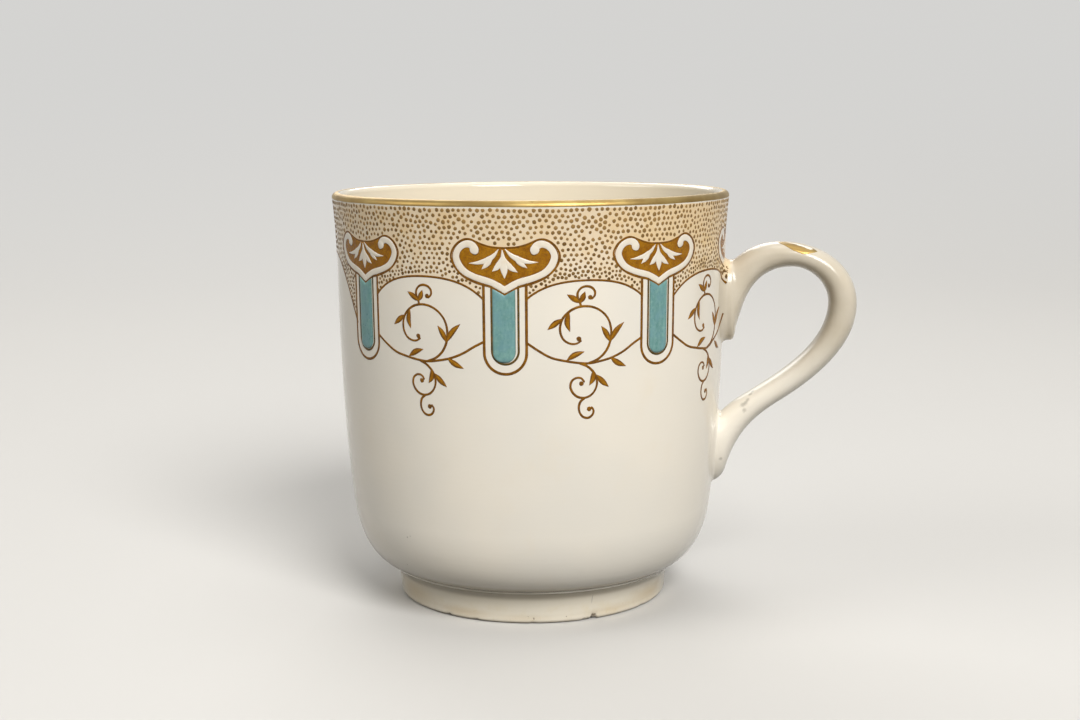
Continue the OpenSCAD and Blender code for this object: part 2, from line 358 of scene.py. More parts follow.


# body: glaze, with the warm wash of the stippled ground above the arches, and painted shade in the crease
# above the seat
def bodyFinish():
    material, shader, spot = newFinish("creamGlaze", {"IOR": 1.5, "Specular IOR Level": 0.5})
    colour, rough, height = glazeBase(spot)
    x, y, z = split(spot)
    turn = spot.math("ARCTAN2", y, x) / panelAngle
    middle = spot.math("ABSOLUTE", spot.math("FRACT", turn + border["panels"]) - 0.5)
    arcFromMiddle = middle * (panelAngle * cup["wallRadius"])
    panel = spot.math("FLOOR", turn + border["panels"])
    raised = 1 - spot.math("MINIMUM", spot.math("ABSOLUTE", panel - border["raisedPanel"]), 1.0)
    blur, dropBlur = border["blur"], border["dropBlur"]
    overArch = smooth(z - archHeight(arcFromMiddle) - raised * border["raisedBy"], -blur, blur)
    halfPanel = panelAngle / 2 * cup["wallRadius"]
    dropEdge = halfPanel - border["dropHalf"]
    inDrop = smooth(arcFromMiddle, dropEdge - dropBlur, dropEdge + dropBlur)
    low, high = (border["dropTop"] + rise for rise in border["dropFade"])
    inDrop = inDrop * (1 - smooth(z, low, high))
    fromDrop = (spot.math("ABSOLUTE", turn) - border["lastDrop"]) * (2 * halfPanel)
    share = spot.math("MINIMUM", spot.math("MAXIMUM", (fromDrop - back["start"]) / back["reach"], 0.0), 1.0)
    overBack = smooth(z - backHeight(share), -blur, blur)
    atBack = smooth(spot.math("ABSOLUTE", turn), border["lastDrop"] - 0.005, border["lastDrop"])
    over = (overArch * (1 - atBack) + overBack * atBack) * (1 - inDrop)
    inside = byPoint(spot, "inside")
    colour = mixed(inside * 0.75, colour, glaze["inner"])
    for px, py, pz, size in glaze["specks"]:
        speck = 1 - smooth(distanceTo(spot, (px, py, pz)) + noise(spot, 0.3, 3.0) * 0.1, size * 0.5, size)
        colour = mixed(speck * 0.6, colour, glaze["grime"])
    # painted shade: the crease just above the seat is darkened where the bead and foot meet the body
    low, high = (cup["seatHeight"] + rise for rise in glaze["crease"])
    crease = smooth(fromAxis(x, y), *glaze["creaseFrom"]) * (1 - smooth(z, low, high))
    colour = mixed(crease * glaze["creaseShadeShare"], colour, glaze["creaseShade"])
    top = border["groundTop"]
    ground = over * (1 - inside) * (1 - smooth(z, top - border["topFade"], top))
    uneven = (0.6 + patches(spot, *border["uneven"]) * 0.4) * (0.72 + smooth(z, *border["fuller"]) * 0.28)
    uneven = uneven * (1 + smooth(x, *border["deeper"]) * 0.5)
    return finished(material, shader, mixed(ground * uneven, colour, border["ground"]), rough, height, 0.018)


# marks on the handle: open pits as (x, y, z, size), the print's wash on its root, and painted shade over its
# upper part
handleMarks = dict(
    pits=((36.1, -1.4, 33.6, 0.36), (35.8, -1.8, 33.2, 0.4), (35.39, -2.57, 32.42, 0.4),
          (35.11, -2.84, 31.94, 0.44), (34.64, -2.82, 31.63, 0.55), (34.89, -3.28, 30.84, 0.42),
          (31.24, -3.62, 22.8, 0.36), (31.0, -0.9, 29.9, 0.3), (30.98, -2.2, 29.5, 0.26),
          (47.5, -2.6, 40.2, 0.2), (44.2, 2.9, 39.0, 0.3), (37.0, 3.0, 53.5, 0.26)),
    gloss=0.12, tintReach=(32.0, 33.0), tintHeight=(51.6, 53.2),
    upperShade=(0.50, 0.44, 0.335), upperShadeHeight=(33.0, 44.0),
)


# handle: glaze darker over its upper part as painted shade, washed where the print runs over its root, open
# in a few pits
def handleFinish():
    material, shader, spot = newFinish("handleGlaze", {"IOR": 1.5, "Specular IOR Level": 0.5})
    colour, rough, height = glazeBase(spot)
    x, y, z = split(spot)
    # painted shade: the glaze darkens upwards from just above the lower root, fully over the bulge and the
    # top of the loop
    upperShade = smooth(z, *handleMarks["upperShadeHeight"])
    colour = mixed(upperShade * (0.5 + noise(spot, 5.0, 4.0) * 0.5), colour, handleMarks["upperShade"])
    tinted = 1 - smooth(fromAxis(x, y), *handleMarks["tintReach"])
    tinted = tinted * smooth(z, *handleMarks["tintHeight"])
    colour = mixed(tinted * 0.75, colour, border["ground"])
    ragged = noise(spot, 0.5, 4.0, 0.7) * 1.6 + 0.2
    for px, py, pz, size in handleMarks["pits"]:
        away = distanceTo(spot, (px, py, pz)) * ragged
        pit = 1 - smooth(away, size * 0.2, size * 1.25)
        colour = mixed(pit * 0.5, colour, glaze["grime"])
        height = height - pit * 1.2
    return finished(material, shader, colour, rough + handleMarks["gloss"], height, 0.02)


# marks on the foot as (degrees, height, half length, half height, strength): tea stains, chips and a hairline
footMarks = dict(
    stains=((-142, 2.4, 6.5, 2.6, 0.7), (-113, 1.2, 5.0, 1.0, 0.6), (-24, 1.9, 6.5, 2.0, 0.75),
            (-48, 1.1, 5.5, 1.0, 0.5), (-86, 0.9, 4.5, 0.7, 0.35), (38, 1.8, 5.0, 1.4, 0.6),
            (92, 2.2, 4.5, 1.6, 0.6), (150, 1.6, 5.5, 1.2, 0.6)),
    chips=((-57, 0.7, 0.55, 0.4, 0.85), (-82.3, 0.85, 0.2, 0.28, 0.7), (-119.5, 0.35, 0.4, 0.2, 0.6),
           (-69, 0.95, 0.16, 0.16, 0.6), (-106, 0.3, 0.4, 0.16, 0.5), (-84.6, 1.2, 0.1, 0.12, 0.6),
           (25, 0.4, 0.8, 0.3, 0.7), (141, 0.4, 1.0, 0.3, 0.7)),
    hairline=(-58.3, 3.5, 0.09, 1.0, 0.5),
    tan=(0.57, 0.435, 0.24), aged=(0.70, 0.62, 0.45), bare=(0.5, 0.4, 0.27), crease=(1.6, 0.7),
    blot=(0.9, 5.0, 0.6, 0.78, 0.65), blotHeight=(0.5, 3.0), creepHeight=(0.8, 4.2), wornHeight=(0.28, 0.55),
)


# share of the way from the middle of a mark to its edge, as an ellipse in arc and height
def markAt(arcHere, z, mark):
    across = (arcHere - math.radians(mark[0]) * foot["radius"]) / mark[2]
    upward = (z - mark[1]) / mark[3]
    return z.math("SQRT", across * across + upward * upward)


# foot: thin glaze with tea stains creeping up from the table, chipped, bare and rough where it is worn flat,
# with painted shade under the bead
def footFinish():
    material, shader, spot = newFinish("footGlaze", {"IOR": 1.5, "Specular IOR Level": 0.45})
    colour, rough, height = glazeBase(spot)
    x, y, z = split(spot)
    arcHere = spot.math("ARCTAN2", y, x) * foot["radius"]
    cloud = noise(spot, 1.8, 5.0, 0.62)
    creep = smooth(cloud, 0.47, 0.72) * (1 - smooth(z, *footMarks["creepHeight"]))
    under = foot["topHeight"]
    below = 1 - smooth(z, under, under + 0.1)
    colour = mixed((0.35 + creep * 0.4) * below, colour, footMarks["aged"])
    for mark in footMarks["stains"]:
        stain = (1 - smooth(markAt(arcHere, z, mark) + cloud, 0.5, 1.75)) * mark[4]
        colour = mixed(stain * 0.7, colour, footMarks["tan"])
    # painted shade under the bead: the top of the foot is darkened downwards from the bead
    low, high = (under - fall for fall in footMarks["crease"])
    crease = smooth(z, low, high) * below
    colour = mixed(crease * glaze["creaseShadeShare"], colour, glaze["creaseShade"])
    blot = patches(spot, *footMarks["blot"]) * (1 - smooth(z, *footMarks["blotHeight"]))
    colour = mixed(blot * 0.35, colour, glaze["stain"])
    worn = 1 - smooth(z + noise(spot, 0.8, 4.0) * 0.5, *footMarks["wornHeight"])
    colour = mixed(worn * 0.6, colour, footMarks["bare"])
    grain = noise(spot, 0.22, 4.0)
    colour = mixed(worn * smooth(grain, 0.5, 0.7) * 0.5, colour, glaze["stain"])
    ragged = noise(spot, 0.3, 4.0, 0.7)
    for mark in footMarks["chips"]:
        chip = (1 - smooth(markAt(arcHere, z, mark) + ragged, 0.8, 1.45)) * mark[4]
        colour = mixed(chip, colour, glaze["speck"])
        height = height - chip * 1.5
    crack = (1 - smooth(markAt(arcHere, z, footMarks["hairline"]), 0.5, 1.0)) * footMarks["hairline"][4]
    colour = mixed(crack, colour, glaze["grime"])
    rough = rough + worn * 0.5 + creep * 0.15
    return finished(material, shader, colour, rough, height + worn * grain * 1.5, 0.03)


# gold: its full, thin and rubbed tones, their patches, and its roughness
gilding = dict(
    gold=(0.295, 0.195, 0.066), pale=(0.40, 0.287, 0.108), worn=(0.16, 0.1, 0.04), gloss=0.37,
    thin=(4.0, 3.0, 0.3, 0.75), rubbed=(1.6, 5.0, 0.62, 0.8, 0.6),
)


# gold: burnished, with soft tone drift, fine brush lines, rubbed patches that lose their shine, and the cream
# of the glaze, not metal, where the points hold a share of it
def giltFinish():
    material, shader, spot = newFinish("burnishedGold", {})
    thin = patches(spot, *gilding["thin"])
    rubbed = patches(spot, *gilding["rubbed"])
    colour = mixed(rubbed * 0.6, mixed(thin, gilding["gold"], gilding["pale"]), gilding["worn"])
    creamInsteadOfGold = smooth(byPoint(spot, "creamInsteadOfGold") + noise(spot, 0.5, 4.0, 0.6) * 0.5, 0.55, 0.85)
    colour = mixed(creamInsteadOfGold, colour, glaze["cream"])
    feed(shader, "Metallic", 1 - creamInsteadOfGold)
    rough = gilding["gloss"] + rubbed * 0.25 + noise(spot, 0.4, 2.0) * 0.1
    brushed = noise(spot, 0.35, 3.0, 0.5, (1, 1, 3)) * 0.5 + noise(spot, 1.5, 2.0)
    return finished(material, shader, colour, rough, brushed, 0.012)


# enamel: its colours, and that of the line under its thin edge
enamel = dict(
    turquoise=(0.18, 0.355, 0.335), deep=(0.125, 0.275, 0.265), pale=(0.29, 0.46, 0.42),
    blue=(0.145, 0.295, 0.345), over=(0.085, 0.085, 0.035), gloss=0.2, bubbles=1.7,
    cloud=(2.6, 2.0, 0.4, 0.65),
)


# enamel: brushed on by hand, so it is streaked down its length and mottled, with tiny burst bubbles, thin
# and dark where its edge runs over the brown line
def enamelFinish():
    material, shader, spot = newFinish("turquoiseEnamel", {"IOR": 1.52, "Specular IOR Level": 0.3})
    streak = noise(spot, 0.9, 4.0, 0.6, (1, 1, 0.3))
    mottle = noise(spot, 0.45, 3.0)
    colour = mixed(smooth(streak, 0.35, 0.7), enamel["deep"], enamel["turquoise"])
    colour = mixed(smooth(mottle, 0.5, 0.75) * 0.4, colour, enamel["pale"])
    colour = mixed(patches(spot, *enamel["cloud"]) * 0.5, colour, enamel["blue"])
    bubbles = 1 - smooth(cells(spot, enamel["bubbles"]), 0.07, 0.14)
    colour = mixed(bubbles * 0.35, colour, enamel["deep"])
    overLine = 1 - smooth(byPoint(spot, "inward") + noise(spot, 0.7, 3.0) * 0.2, 0.1, 0.34)
    colour = mixed(overLine * 0.45, colour, enamel["over"])
    rough = enamel["gloss"] + mottle * 0.2
    return finished(material, shader, colour, rough, streak * 1.2 + mottle * 0.6 - bubbles * 0.5, 0.03)


# inks of the print: lines, fields and dots, with their patches, and the cast on the white
ink = dict(
    line=(0.24, 0.102, 0.009), dark=(0.125, 0.052, 0.008), ochre=(0.36, 0.16, 0.008),
    rust=(0.24, 0.09, 0.004), dot=(0.32, 0.195, 0.07), dotDark=(0.12, 0.065, 0.02),
    olive=(0.15, 0.085, 0.02), black=(0.065, 0.05, 0.018), rough=0.2,
    body=(0.7, 4.0, 0.35, 0.7, 0.6), thin=(2.6, 3.0, 0.5, 0.78), pool=(1.1, 5.0, 0.38, 0.68, 0.62),
    grain=(0.22, 3.0, 0.45, 0.68, 0.6), cast=(1.2, 4.0, 0.45, 0.8),
)
inkShine = {"IOR": 1.48, "Specular IOR Level": 0.12}


# printed line: ink that breaks from dark to a thinned tone along its length
def inkFinish(name, dark, line, thinned):
    material, shader, spot = newFinish(name, inkShine)
    body = patches(spot, *ink["body"])
    thin = patches(spot, *ink["thin"])
    colour = mixed(thin * 0.55, mixed(body, dark, line), thinned)
    rough = ink["rough"] + noise(spot, 0.3, 2.0) * 0.2
    return finished(material, shader, colour, rough, noise(spot, 0.3, 3.0), 0.01)


# field of the scrolled panels: ochre laid on by brush, pooled darker in places
def fieldFinish():
    material, shader, spot = newFinish("ochreField", inkShine)
    pool = patches(spot, *ink["pool"])
    grain = patches(spot, *ink["grain"])
    colour = mixed(pool, ink["ochre"], ink["rust"])
    colour = mixed(grain * 0.55, colour, ink["dark"])
    return finished(material, shader, colour, ink["rough"] + pool * 0.15, pool * 0.6 + grain * 0.4, 0.01)


# dots: each has its own strength of ink
def dotFinish():
    material, shader, spot = newFinish("stippleInk", inkShine)
    tone = byPoint(spot, "tone")
    colour = mixed(tone, ink["dotDark"], ink["dot"])
    return finished(material, shader, colour, ink["rough"] + tone * 0.2, noise(spot, 0.25, 2.0), 0.01)


# bare glaze left white inside the print
def reserveFinish():
    material, shader, spot = newFinish("whiteReserve", {"IOR": 1.5})
    colour, rough, height = glazeBase(spot)
    cast = 0.1 + patches(spot, *ink["cast"]) * 0.3
    return finished(material, shader, mixed(cast, colour, border["ground"]), rough, height, 0.012)


finish = dict(
    body=bodyFinish(), handle=handleFinish(), foot=footFinish(), gilt=giltFinish(), enamel=enamelFinish(),
    ink=inkFinish("brownInk", ink["dark"], ink["line"], ink["ochre"]),
    dropInk=inkFinish("darkInk", ink["black"], ink["olive"], ink["line"]),
    field=fieldFinish(), dot=dotFinish(), reserve=reserveFinish(),
)
print("finishes made:", len(finish))

# the body's curves: belly, wall and flare as control points (radius, height)
lipHeight = cup["height"] - cup["lipThick"] / 2
lipCentre = (cup["lipRadius"] - cup["lipThick"] / 2, lipHeight)
floorHeight = cup["seatHeight"] + cup["floorThick"]
bellyTop = (cup["bellyRadius"], cup["bellyHeight"])
flareLow = (cup["wallRadius"], cup["flareHeight"])
belly = [(cup["seatRadius"], cup["seatHeight"]), (27, 6.8),
         (cup["bellyRadius"] - 0.55, cup["bellyHeight"] - 5.6), bellyTop]
wall = [bellyTop, (cup["bellyRadius"] + 0.8, cup["bellyHeight"] + 6.5),
        (cup["wallRadius"] - 0.15, 34), flareLow]
flare = [flareLow, (cup["wallRadius"] + 0.05, cup["flareHeight"] + 6),
         (cup["lipRadius"] - 0.5, lipHeight - 4.1), (cup["lipRadius"], lipHeight)]
outside = chain((belly, 40), (wall, 60), (flare, 30))


# outside radius of the body at a height, read off its curves
def wallAt(z):
    return np.interp(z, outside[:, 1], outside[:, 0])


# control points moved in by a wall thickness that grows downwards
def inset(points):
    grow = (cup["baseThick"] - cup["lipThick"]) / (lipHeight - cup["bellyHeight"])
    return [(r - cup["lipThick"] - grow * (lipHeight - z), z) for r, z in points]


# body: underside, outside, lip and inside as one profile turned about the axis
def buildBody():
    bellyIn = [(cup["floorRadius"], floorHeight), (24, floorHeight), (26.7, cup["bellyHeight"] - 4.7),
               (cup["bellyRadius"] - cup["baseThick"], cup["bellyHeight"])]
    inside = chain((bellyIn, 30), (inset(wall), 40), (inset(flare), 20))[::-1]
    under = level(cup["pole"], cup["seatRadius"], cup["seatHeight"])[:-1]
    floor = level(cup["floorRadius"], cup["pole"], floorHeight)[1:]
    lip = arc(lipCentre, cup["lipThick"] / 2, 0, 180, 26)[1:-1]
    profile = np.concatenate([under, outside, lip, inside, floor])
    part = skin(turned(profile, cup["turns"]))
    radius, z = np.hypot(part[0][:, 0], part[0][:, 1]), part[0][:, 2]
    within = (radius < wallAt(z) - 0.6) & (z > cup["seatHeight"] + 0.3)
    addPiece("cup_body_glazed", part, finish["body"], ["cup_body"],
             values={"inside": within}, sharpDeg=60)


# foot: its profile turned about the axis, with dents pressed up and in along the lower outer edge
def buildFoot():
    waist = foot["waist"]
    hollow = [(foot["radius"], waist), (foot["radius"] + 0.2, waist + 1.8),
              (foot["topRadius"] - 1.2, foot["topHeight"] - 0.7), (foot["topRadius"], foot["topHeight"])]
    e = foot["edge"]
    under = level(foot["innerRadius"] + e, foot["radius"] - e, 0.0)[1:-1]
    outer = arc((foot["radius"] - e, e), e, -90, 0, 12)
    inner = arc((foot["innerRadius"] + e, e), e, 180, 270, 12)
    side = chain((hollow, 30))
    top = [(foot["innerRadius"] + foot["lean"], foot["topHeight"])]
    rings = turned(np.concatenate([top, inner, under, outer, side]), foot["turns"])
    deg = np.degrees(np.arctan2(rings[..., 1], rings[..., 0]))
    radius = np.hypot(rings[..., 0], rings[..., 1])
    outside = np.clip((radius - foot["radius"] + 1.5) / 1.2, 0, 1)
    nearEdge = np.exp(-((rings[..., 2] / foot["nickHeight"]) ** 2)) * outside
    for at, width, depth in foot["nicks"]:
        away = (deg - at + 180) % 360 - 180
        ragged = 1 + foot["nickRagged"] * np.sin(away * 9 + at)
        dent = depth * ragged * np.exp(-((np.radians(away) * foot["radius"] / width) ** 4)) * nearEdge
        rings[..., 2] += dent
        rings[..., :2] *= (1 - foot["nickIn"] * dent / radius)[..., None]
    addPiece("foot_ring_worn", hoop(rings), finish["foot"], ["foot_ring"], sharpDeg=70)


# bead of slip where foot meets body: a half round turned about the axis
def buildFootBead():
    r = (cup["seatHeight"] - foot["topHeight"]) / 2
    bead = arc((foot["topRadius"], cup["seatHeight"] - r), r, -90, 90, 14)
    inner = foot["innerRadius"] + foot["lean"]
    profile = np.concatenate([[(inner, foot["topHeight"])], bead, [(inner, cup["seatHeight"])]])
    rings = turned(profile, cup["turns"])
    addPiece("foot_slip_bead", hoop(rings), finish["foot"], ["foot_slip_joint"], sharpDeg=60)


buildBody()
buildFoot()
buildFootBead()
print("body and foot made")

# loop handle: reach, heights of its roots on the wall, thickness and width of the strap
loop = dict(
    reach=handleHigh[0], top=handleHigh[2], bulgeHeight=47.7, thickTop=4.0, thickSide=4.5, thickArm=3.9,
    width=6.6, rootWidth=8.4, upperRoot=54.8, spurEnd=41.8, lowerRoot=30.0, tailEnd=18.6,
    upperSlip=1.1, lowerSlip=0.5, slipSpread=0.7, slipSide=3.2,
    roundness=2.2, upperTaper=0.14, lowerTaper=-0.22, rootReach=0.85,
    spans=4, ringsPerSpan=44, sides=72, filletRings=20, sink=0.02, nearCosine=0.9, steepSlip=0.75, tuckIn=4,
)
# places (from the axis, height) that the handle's edges pass through
crest = np.array((cup["wallRadius"] + 9, loop["top"]))
bulge = np.array((loop["reach"], loop["bulgeHeight"]))
elbow = np.array((cup["wallRadius"] + 9, loop["lowerRoot"] + 1.9))
crestIn = crest + (1.9, -loop["thickTop"])
bulgeIn = bulge + (-loop["thickSide"], 0.4)
elbowIn = elbow + loop["thickArm"] * np.array((-0.66, 0.75))
heel = np.array((wallAt(loop["tailEnd"]) + 2.1, loop["tailEnd"] + 1.9))
spurFront = np.array((cup["wallRadius"] + 2.05, loop["spurEnd"] + 2.4))
slipOf = dict(upperRoot="upperSlip", spurEnd="upperSlip", lowerRoot="lowerSlip", tailEnd="lowerSlip")
rootAt = {key: np.array((wallAt(loop[key]) + loop[slip], loop[key])) for key, slip in slipOf.items()}
# edges of the strap as stretches (from, to, control points) of a running value 0 to 4, root to root
outerEdge = [
    (0, 1, (rootAt["upperRoot"], rootAt["upperRoot"] + (1, 0), crest - (5.4, 0.1), crest)),
    (1, 2, (crest, crest + (6.4, 0), bulge + (0, 6.4), bulge)),
    (2, 3, (bulge, bulge - (0, 6.8), elbow + (5.5, 3.6), elbow)),
    (3, 3.8, (elbow, elbow - (4.9, 3.2), heel + (1.5, 5.2), heel)),
    (3.8, 4, (heel, heel - (0.35, 0.9), rootAt["tailEnd"] + (0.8, 0.5), rootAt["tailEnd"])),
]
innerEdge = [
    (0, 0.3, (rootAt["spurEnd"], rootAt["spurEnd"] + (0.9, 0), spurFront - (0.3, 1.6), spurFront)),
    (0.3, 1, (spurFront, spurFront + (0.9, 2.6), crestIn - (7, 0), crestIn)),
    (1, 2, (crestIn, crestIn + (2.7, 0), bulgeIn + (0, 3.2), bulgeIn)),
    (2, 3, (bulgeIn, bulgeIn - (0, 6.1), elbowIn + (4.1, 2.8), elbowIn)),
    (3, 4, (elbowIn, elbowIn - (3.8, 2.6), rootAt["lowerRoot"] + (2, 2.1), rootAt["lowerRoot"])),
]


# point of an edge at each running value
def edgeAt(edge, u):
    u = np.asarray(u, float)
    result = np.zeros(u.shape + (2,))
    for start, end, points in edge:
        here = (u >= start) & (u <= end)
        result[here] = cubicAt(points, (u[here] - start) / (end - start))
    return result


# rounded oval: the cosine or sine drawn out towards a square by a power
def oval(v):
    return np.sign(v) * np.abs(v) ** (2 / loop["roundness"])


# half width across the strap: wider by the square of the nearness to a root, both roots fuller at their tops
def halfWidth(u, a):
    near = np.maximum(0, 1 - np.minimum(u, loop["spans"] - u) / loop["rootReach"]) ** 2
    taper = np.where(u < loop["spans"] / 2, loop["upperTaper"], loop["lowerTaper"])
    return (loop["width"] + (loop["rootWidth"] - loop["width"]) * near) / 2 * (1 + taper * near * np.cos(a))


# point on the strap: middle of the two edges plus half their distance times an oval, raised by lift
def strapPoint(u, a, lift=0.0):
    p, q = edgeAt(outerEdge, u), edgeAt(innerEdge, u)
    half = (p - q) / 2
    grow = 1 + lift / np.linalg.norm(half, axis=-1)
    c = (p + q) / 2 + half * (grow * oval(np.cos(a)))[..., None]
    return np.stack([c[..., 0], (halfWidth(u, a) + lift) * oval(np.sin(a)), c[..., 1]], -1)


# ring round the root at running value u on the wall, raised by off and grown by a share of the slip's spread
def rootRing(u, off, grow, a):
    zOut, zIn = (loop["upperRoot"], loop["spurEnd"]) if u == 0 else (loop["tailEnd"], loop["lowerRoot"])
    reach = (zOut - zIn) / 2 + np.sign(zOut - zIn) * loop["slipSpread"] * grow
    z = (zOut + zIn) / 2 + reach * oval(np.cos(a))
    y = (halfWidth(u + 0 * a, a) + loop["slipSide"] * grow) * oval(np.sin(a))
    r = wallAt(z) + off
    return np.stack([np.sqrt(r * r - y * y), y, z], -1)


# thickness of the slip round the upper root at a place on the wall: the share by which the root's ring
# must grow to reach it is found by halving, and the hollow fillet is a quarter ellipse of that share
def slipLift(y, z):
    middle, half = (loop["upperRoot"] + loop["spurEnd"]) / 2, (loop["upperRoot"] - loop["spurEnd"]) / 2
    few, many = np.zeros_like(z), np.ones_like(z)

    # True where the place lies within the root's oval, grown by a share of the slip's spread
    def covered(grow):
        c = np.clip((z - middle) / (half + loop["slipSpread"] * grow), -1, 1)
        cosA = np.sign(c) * np.abs(c) ** (loop["roundness"] / 2)
        width = loop["rootWidth"] / 2 * (1 + loop["upperTaper"] * cosA) + loop["slipSide"] * grow
        return np.abs(y) < width * oval(np.sqrt(1 - cosA * cosA))

    reached = covered(many)
    for _ in range(20):
        between = (few + many) / 2
        inside = covered(between)
        few, many = np.where(inside, few, between), np.where(inside, between, many)
    return np.where(reached, loop["upperSlip"] * (1 - np.sqrt(1 - (1 - many) ** 2)), 0)


# unit normals of a grid of rings, from differences along and round it, turned away from each ring's middle
def gridNormals(rings):
    along = np.gradient(rings, axis=0)
    around = np.roll(rings, -1, 1) - np.roll(rings, 1, 1)
    n = np.cross(around, along)
    n /= np.linalg.norm(n, axis=-1, keepdims=True) + 1e-12
    outwards = np.sign(np.einsum("ijk,ijk->", n, rings - rings.mean(1, keepdims=True)))
    return n * outwards


# handle and both wiped slip joints as one run of rings, so that they share normals where they meet
def buildHandle():
    a = np.arange(loop["sides"]) * 2 * np.pi / loop["sides"]
    fillet = np.linspace(math.pi / 2, 0, loop["filletRings"])

    # rings of a root's slip from its edge on the wall up to the strap, hollow as a quarter circle
    def slipRings(u, thick):
        steps = zip(1 - np.sin(fillet), 1 - np.cos(fillet))
        return np.stack([rootRing(u, thick * rise - loop["sink"], grow, a) for rise, grow in steps])

    upper = slipRings(0, loop["upperSlip"])
    lower = slipRings(loop["spans"], loop["lowerSlip"])[::-1]
    u = np.linspace(0, loop["spans"], loop["spans"] * loop["ringsPerSpan"] + 1)[1:-1]
    strap = strapPoint(u[:, None] + 0 * a, a + 0 * u[:, None])
    rings = np.concatenate([upper, strap, lower])
    normals = gridNormals(rings)
    n = len(fillet)

    # normals of a run of rings, and their means at both ends
    def withEnds(part):
        return np.concatenate([part.reshape(-1, 3), part[0].mean(0)[None], part[-1].mean(0)[None]])

    pieces = (
        ("upper_slip_wiped", slice(0, n), "upper_slip_joint"),
        ("handle_strap", slice(n - 1, -n + 1), "handle"),
        ("lower_slip_wiped", slice(-n, None), "lower_slip_joint"),
    )
    for name, run, node in pieces:
        addPiece(name, skin(rings[run]), finish["handle"], [node], withEnds(normals[run]))


# gold stroke: start and length in the strap's running value, then lean, slant, bow and half width in degrees
dash = dict(start=0.97, length=0.35, lean=-18, slant=-20, bow=-17, half=31, thick=0.05, edge=0.004, sink=0.06)


# gold stroke: a thin lens on the near shoulder of the strap, its width and bow sines along it, its thickness
# a fourth power across, the glaze's cream in place of the gold towards the crest, short of its end and edge
def buildDash():
    f = np.linspace(0, 1, 40)[:, None]
    v = np.linspace(1, -1, 17)[None]
    half = np.radians(dash["half"]) * np.maximum(0.04, np.sin(np.pi * f) ** 0.7)
    wobble = 1 + 0.05 * np.sin(17 * f) * v
    u = dash["start"] + dash["length"] * f + 0 * v
    middle = dash["lean"] + dash["slant"] * f + dash["bow"] * np.sin(np.pi * f)
    a = np.radians(middle) + half * v * wobble
    top = strapPoint(u, a, dash["thick"] * (1 - np.abs(v) ** 4) + 0 * f - dash["edge"])
    low = strapPoint(u, a, -dash["sink"] + 0 * u)[:, ::-1]
    # towards the crest the gold gives way to the glaze's cream, short of the stroke's end and edge
    towardsCrest = np.clip(1.2 * v + 1.4 * f - 0.7, 0, 1)
    shortOfEnd = np.clip(8 * (1 - f) - 0.6, 0, 1)
    shortOfEdge = np.clip(5 * (1 - v) - 0.5, 0, 1)
    values = {"creamInsteadOfGold": overAndBack(towardsCrest * shortOfEnd * shortOfEdge)}
    part = skin(np.concatenate([top, low], 1))
    addPiece("gilt_dash", part, finish["gilt"], ["handle_gilt_dash"], values=values)


buildHandle()
buildDash()
print("handle made")

# gold over the lip: its angles about the lip's middle, and waves of its edge as (share, count, start)
giltLip = dict(
    thick=0.06, sink=0.05, fromDeg=-3, toDeg=100, waver=3.0, waves=((0.5, 3, 0), (0.3, 11, 1), (0.2, 29, 2)),
)


# gold over the lip: an arc round the lip's middle turned about the axis, its lower edge wavering a little
def buildGiltLip():
    turn = np.arange(cup["turns"]) * 2 * np.pi / cup["turns"]
    waves = [share * np.sin(count * turn + start) for share, count, start in giltLip["waves"]]
    waver = giltLip["waver"] * sum(waves)
    t = np.linspace(0, 1, 24)[:, None]
    deg = giltLip["fromDeg"] + waver + (giltLip["toDeg"] - giltLip["fromDeg"] + 0.6 * waver) * t
    ends = np.sin(np.pi * t) ** 0.25

    # the arcs at a distance from the lip's middle, carried round the axis
    def shell(radius):
        a = np.radians(deg)
        r, z = lipCentre[0] + radius * np.cos(a), lipCentre[1] + radius * np.sin(a)
        return np.stack([r * np.cos(turn), r * np.sin(turn), z], -1)

    outer = shell(cup["lipThick"] / 2 + giltLip["thick"] * ends)
    inner = shell(cup["lipThick"] / 2 - giltLip["sink"] + 0 * ends)[::-1]
    addPiece("gilt_lip", hoop(np.concatenate([outer, inner])), finish["gilt"], ["gilt_rim_line"])


buildGiltLip()
print("gilt lip made")

# places on the wall are (arc, height): arc in millimetres round the wall from a motif's or a panel's middle

# scrolled panels as (place round the cup, shift along the wall, share of the full height): the place
# opposite the handle has none, and each was engraved by hand a little differently
motifs = (
    (0, 0.0, 0.95), (1, 0.2, 0.94), (2, -0.1, 1.0), (3, 0.25, 0.93),
    (5, -0.35, 0.92), (6, 0.27, 1.0), (7, -0.3, 0.92),
)
# height that stays in place when a panel is drawn up, and how far the rest gives way to it
scrollGive = (60.4, 1.0)
dropGive = (53.5, 0.55)
sprayPlaces = (0, 1, 2, 5, 6, 7)
# how far the layers of the print stand out of the glaze and sink into it, and the step along a line
relief = dict(line=0.035, sink=0.03, field=0.015, shade=0.028, scroll=0.045, leaf=0.055, knob=0.056, dot=0.03,
              layer=0.004, step=0.2)


# thickness of the slip at an angle round the cup, none away from the handle
def slipAt(a, r, z):
    return np.where(np.cos(a) > loop["nearCosine"], slipLift(r * np.sin(a), z), 0)


# place on the wall to a point in space: turned round the axis by arc, out by the wall's radius, the slip
# and lift, and back in under the handle where the slip stands steepest
def onWall(flat, angle, climbs=True):
    a = angle + flat[..., 0] / cup["wallRadius"]
    r = wallAt(flat[..., 1])
    slip = slipAt(a, r, flat[..., 1]) * climbs
    under = np.maximum(0, slip - loop["steepSlip"] * loop["upperSlip"])
    r = r + slip - loop["tuckIn"] * under + flat[..., 2]
    return np.stack([r * np.cos(a), r * np.sin(a), flat[..., 1]], -1)


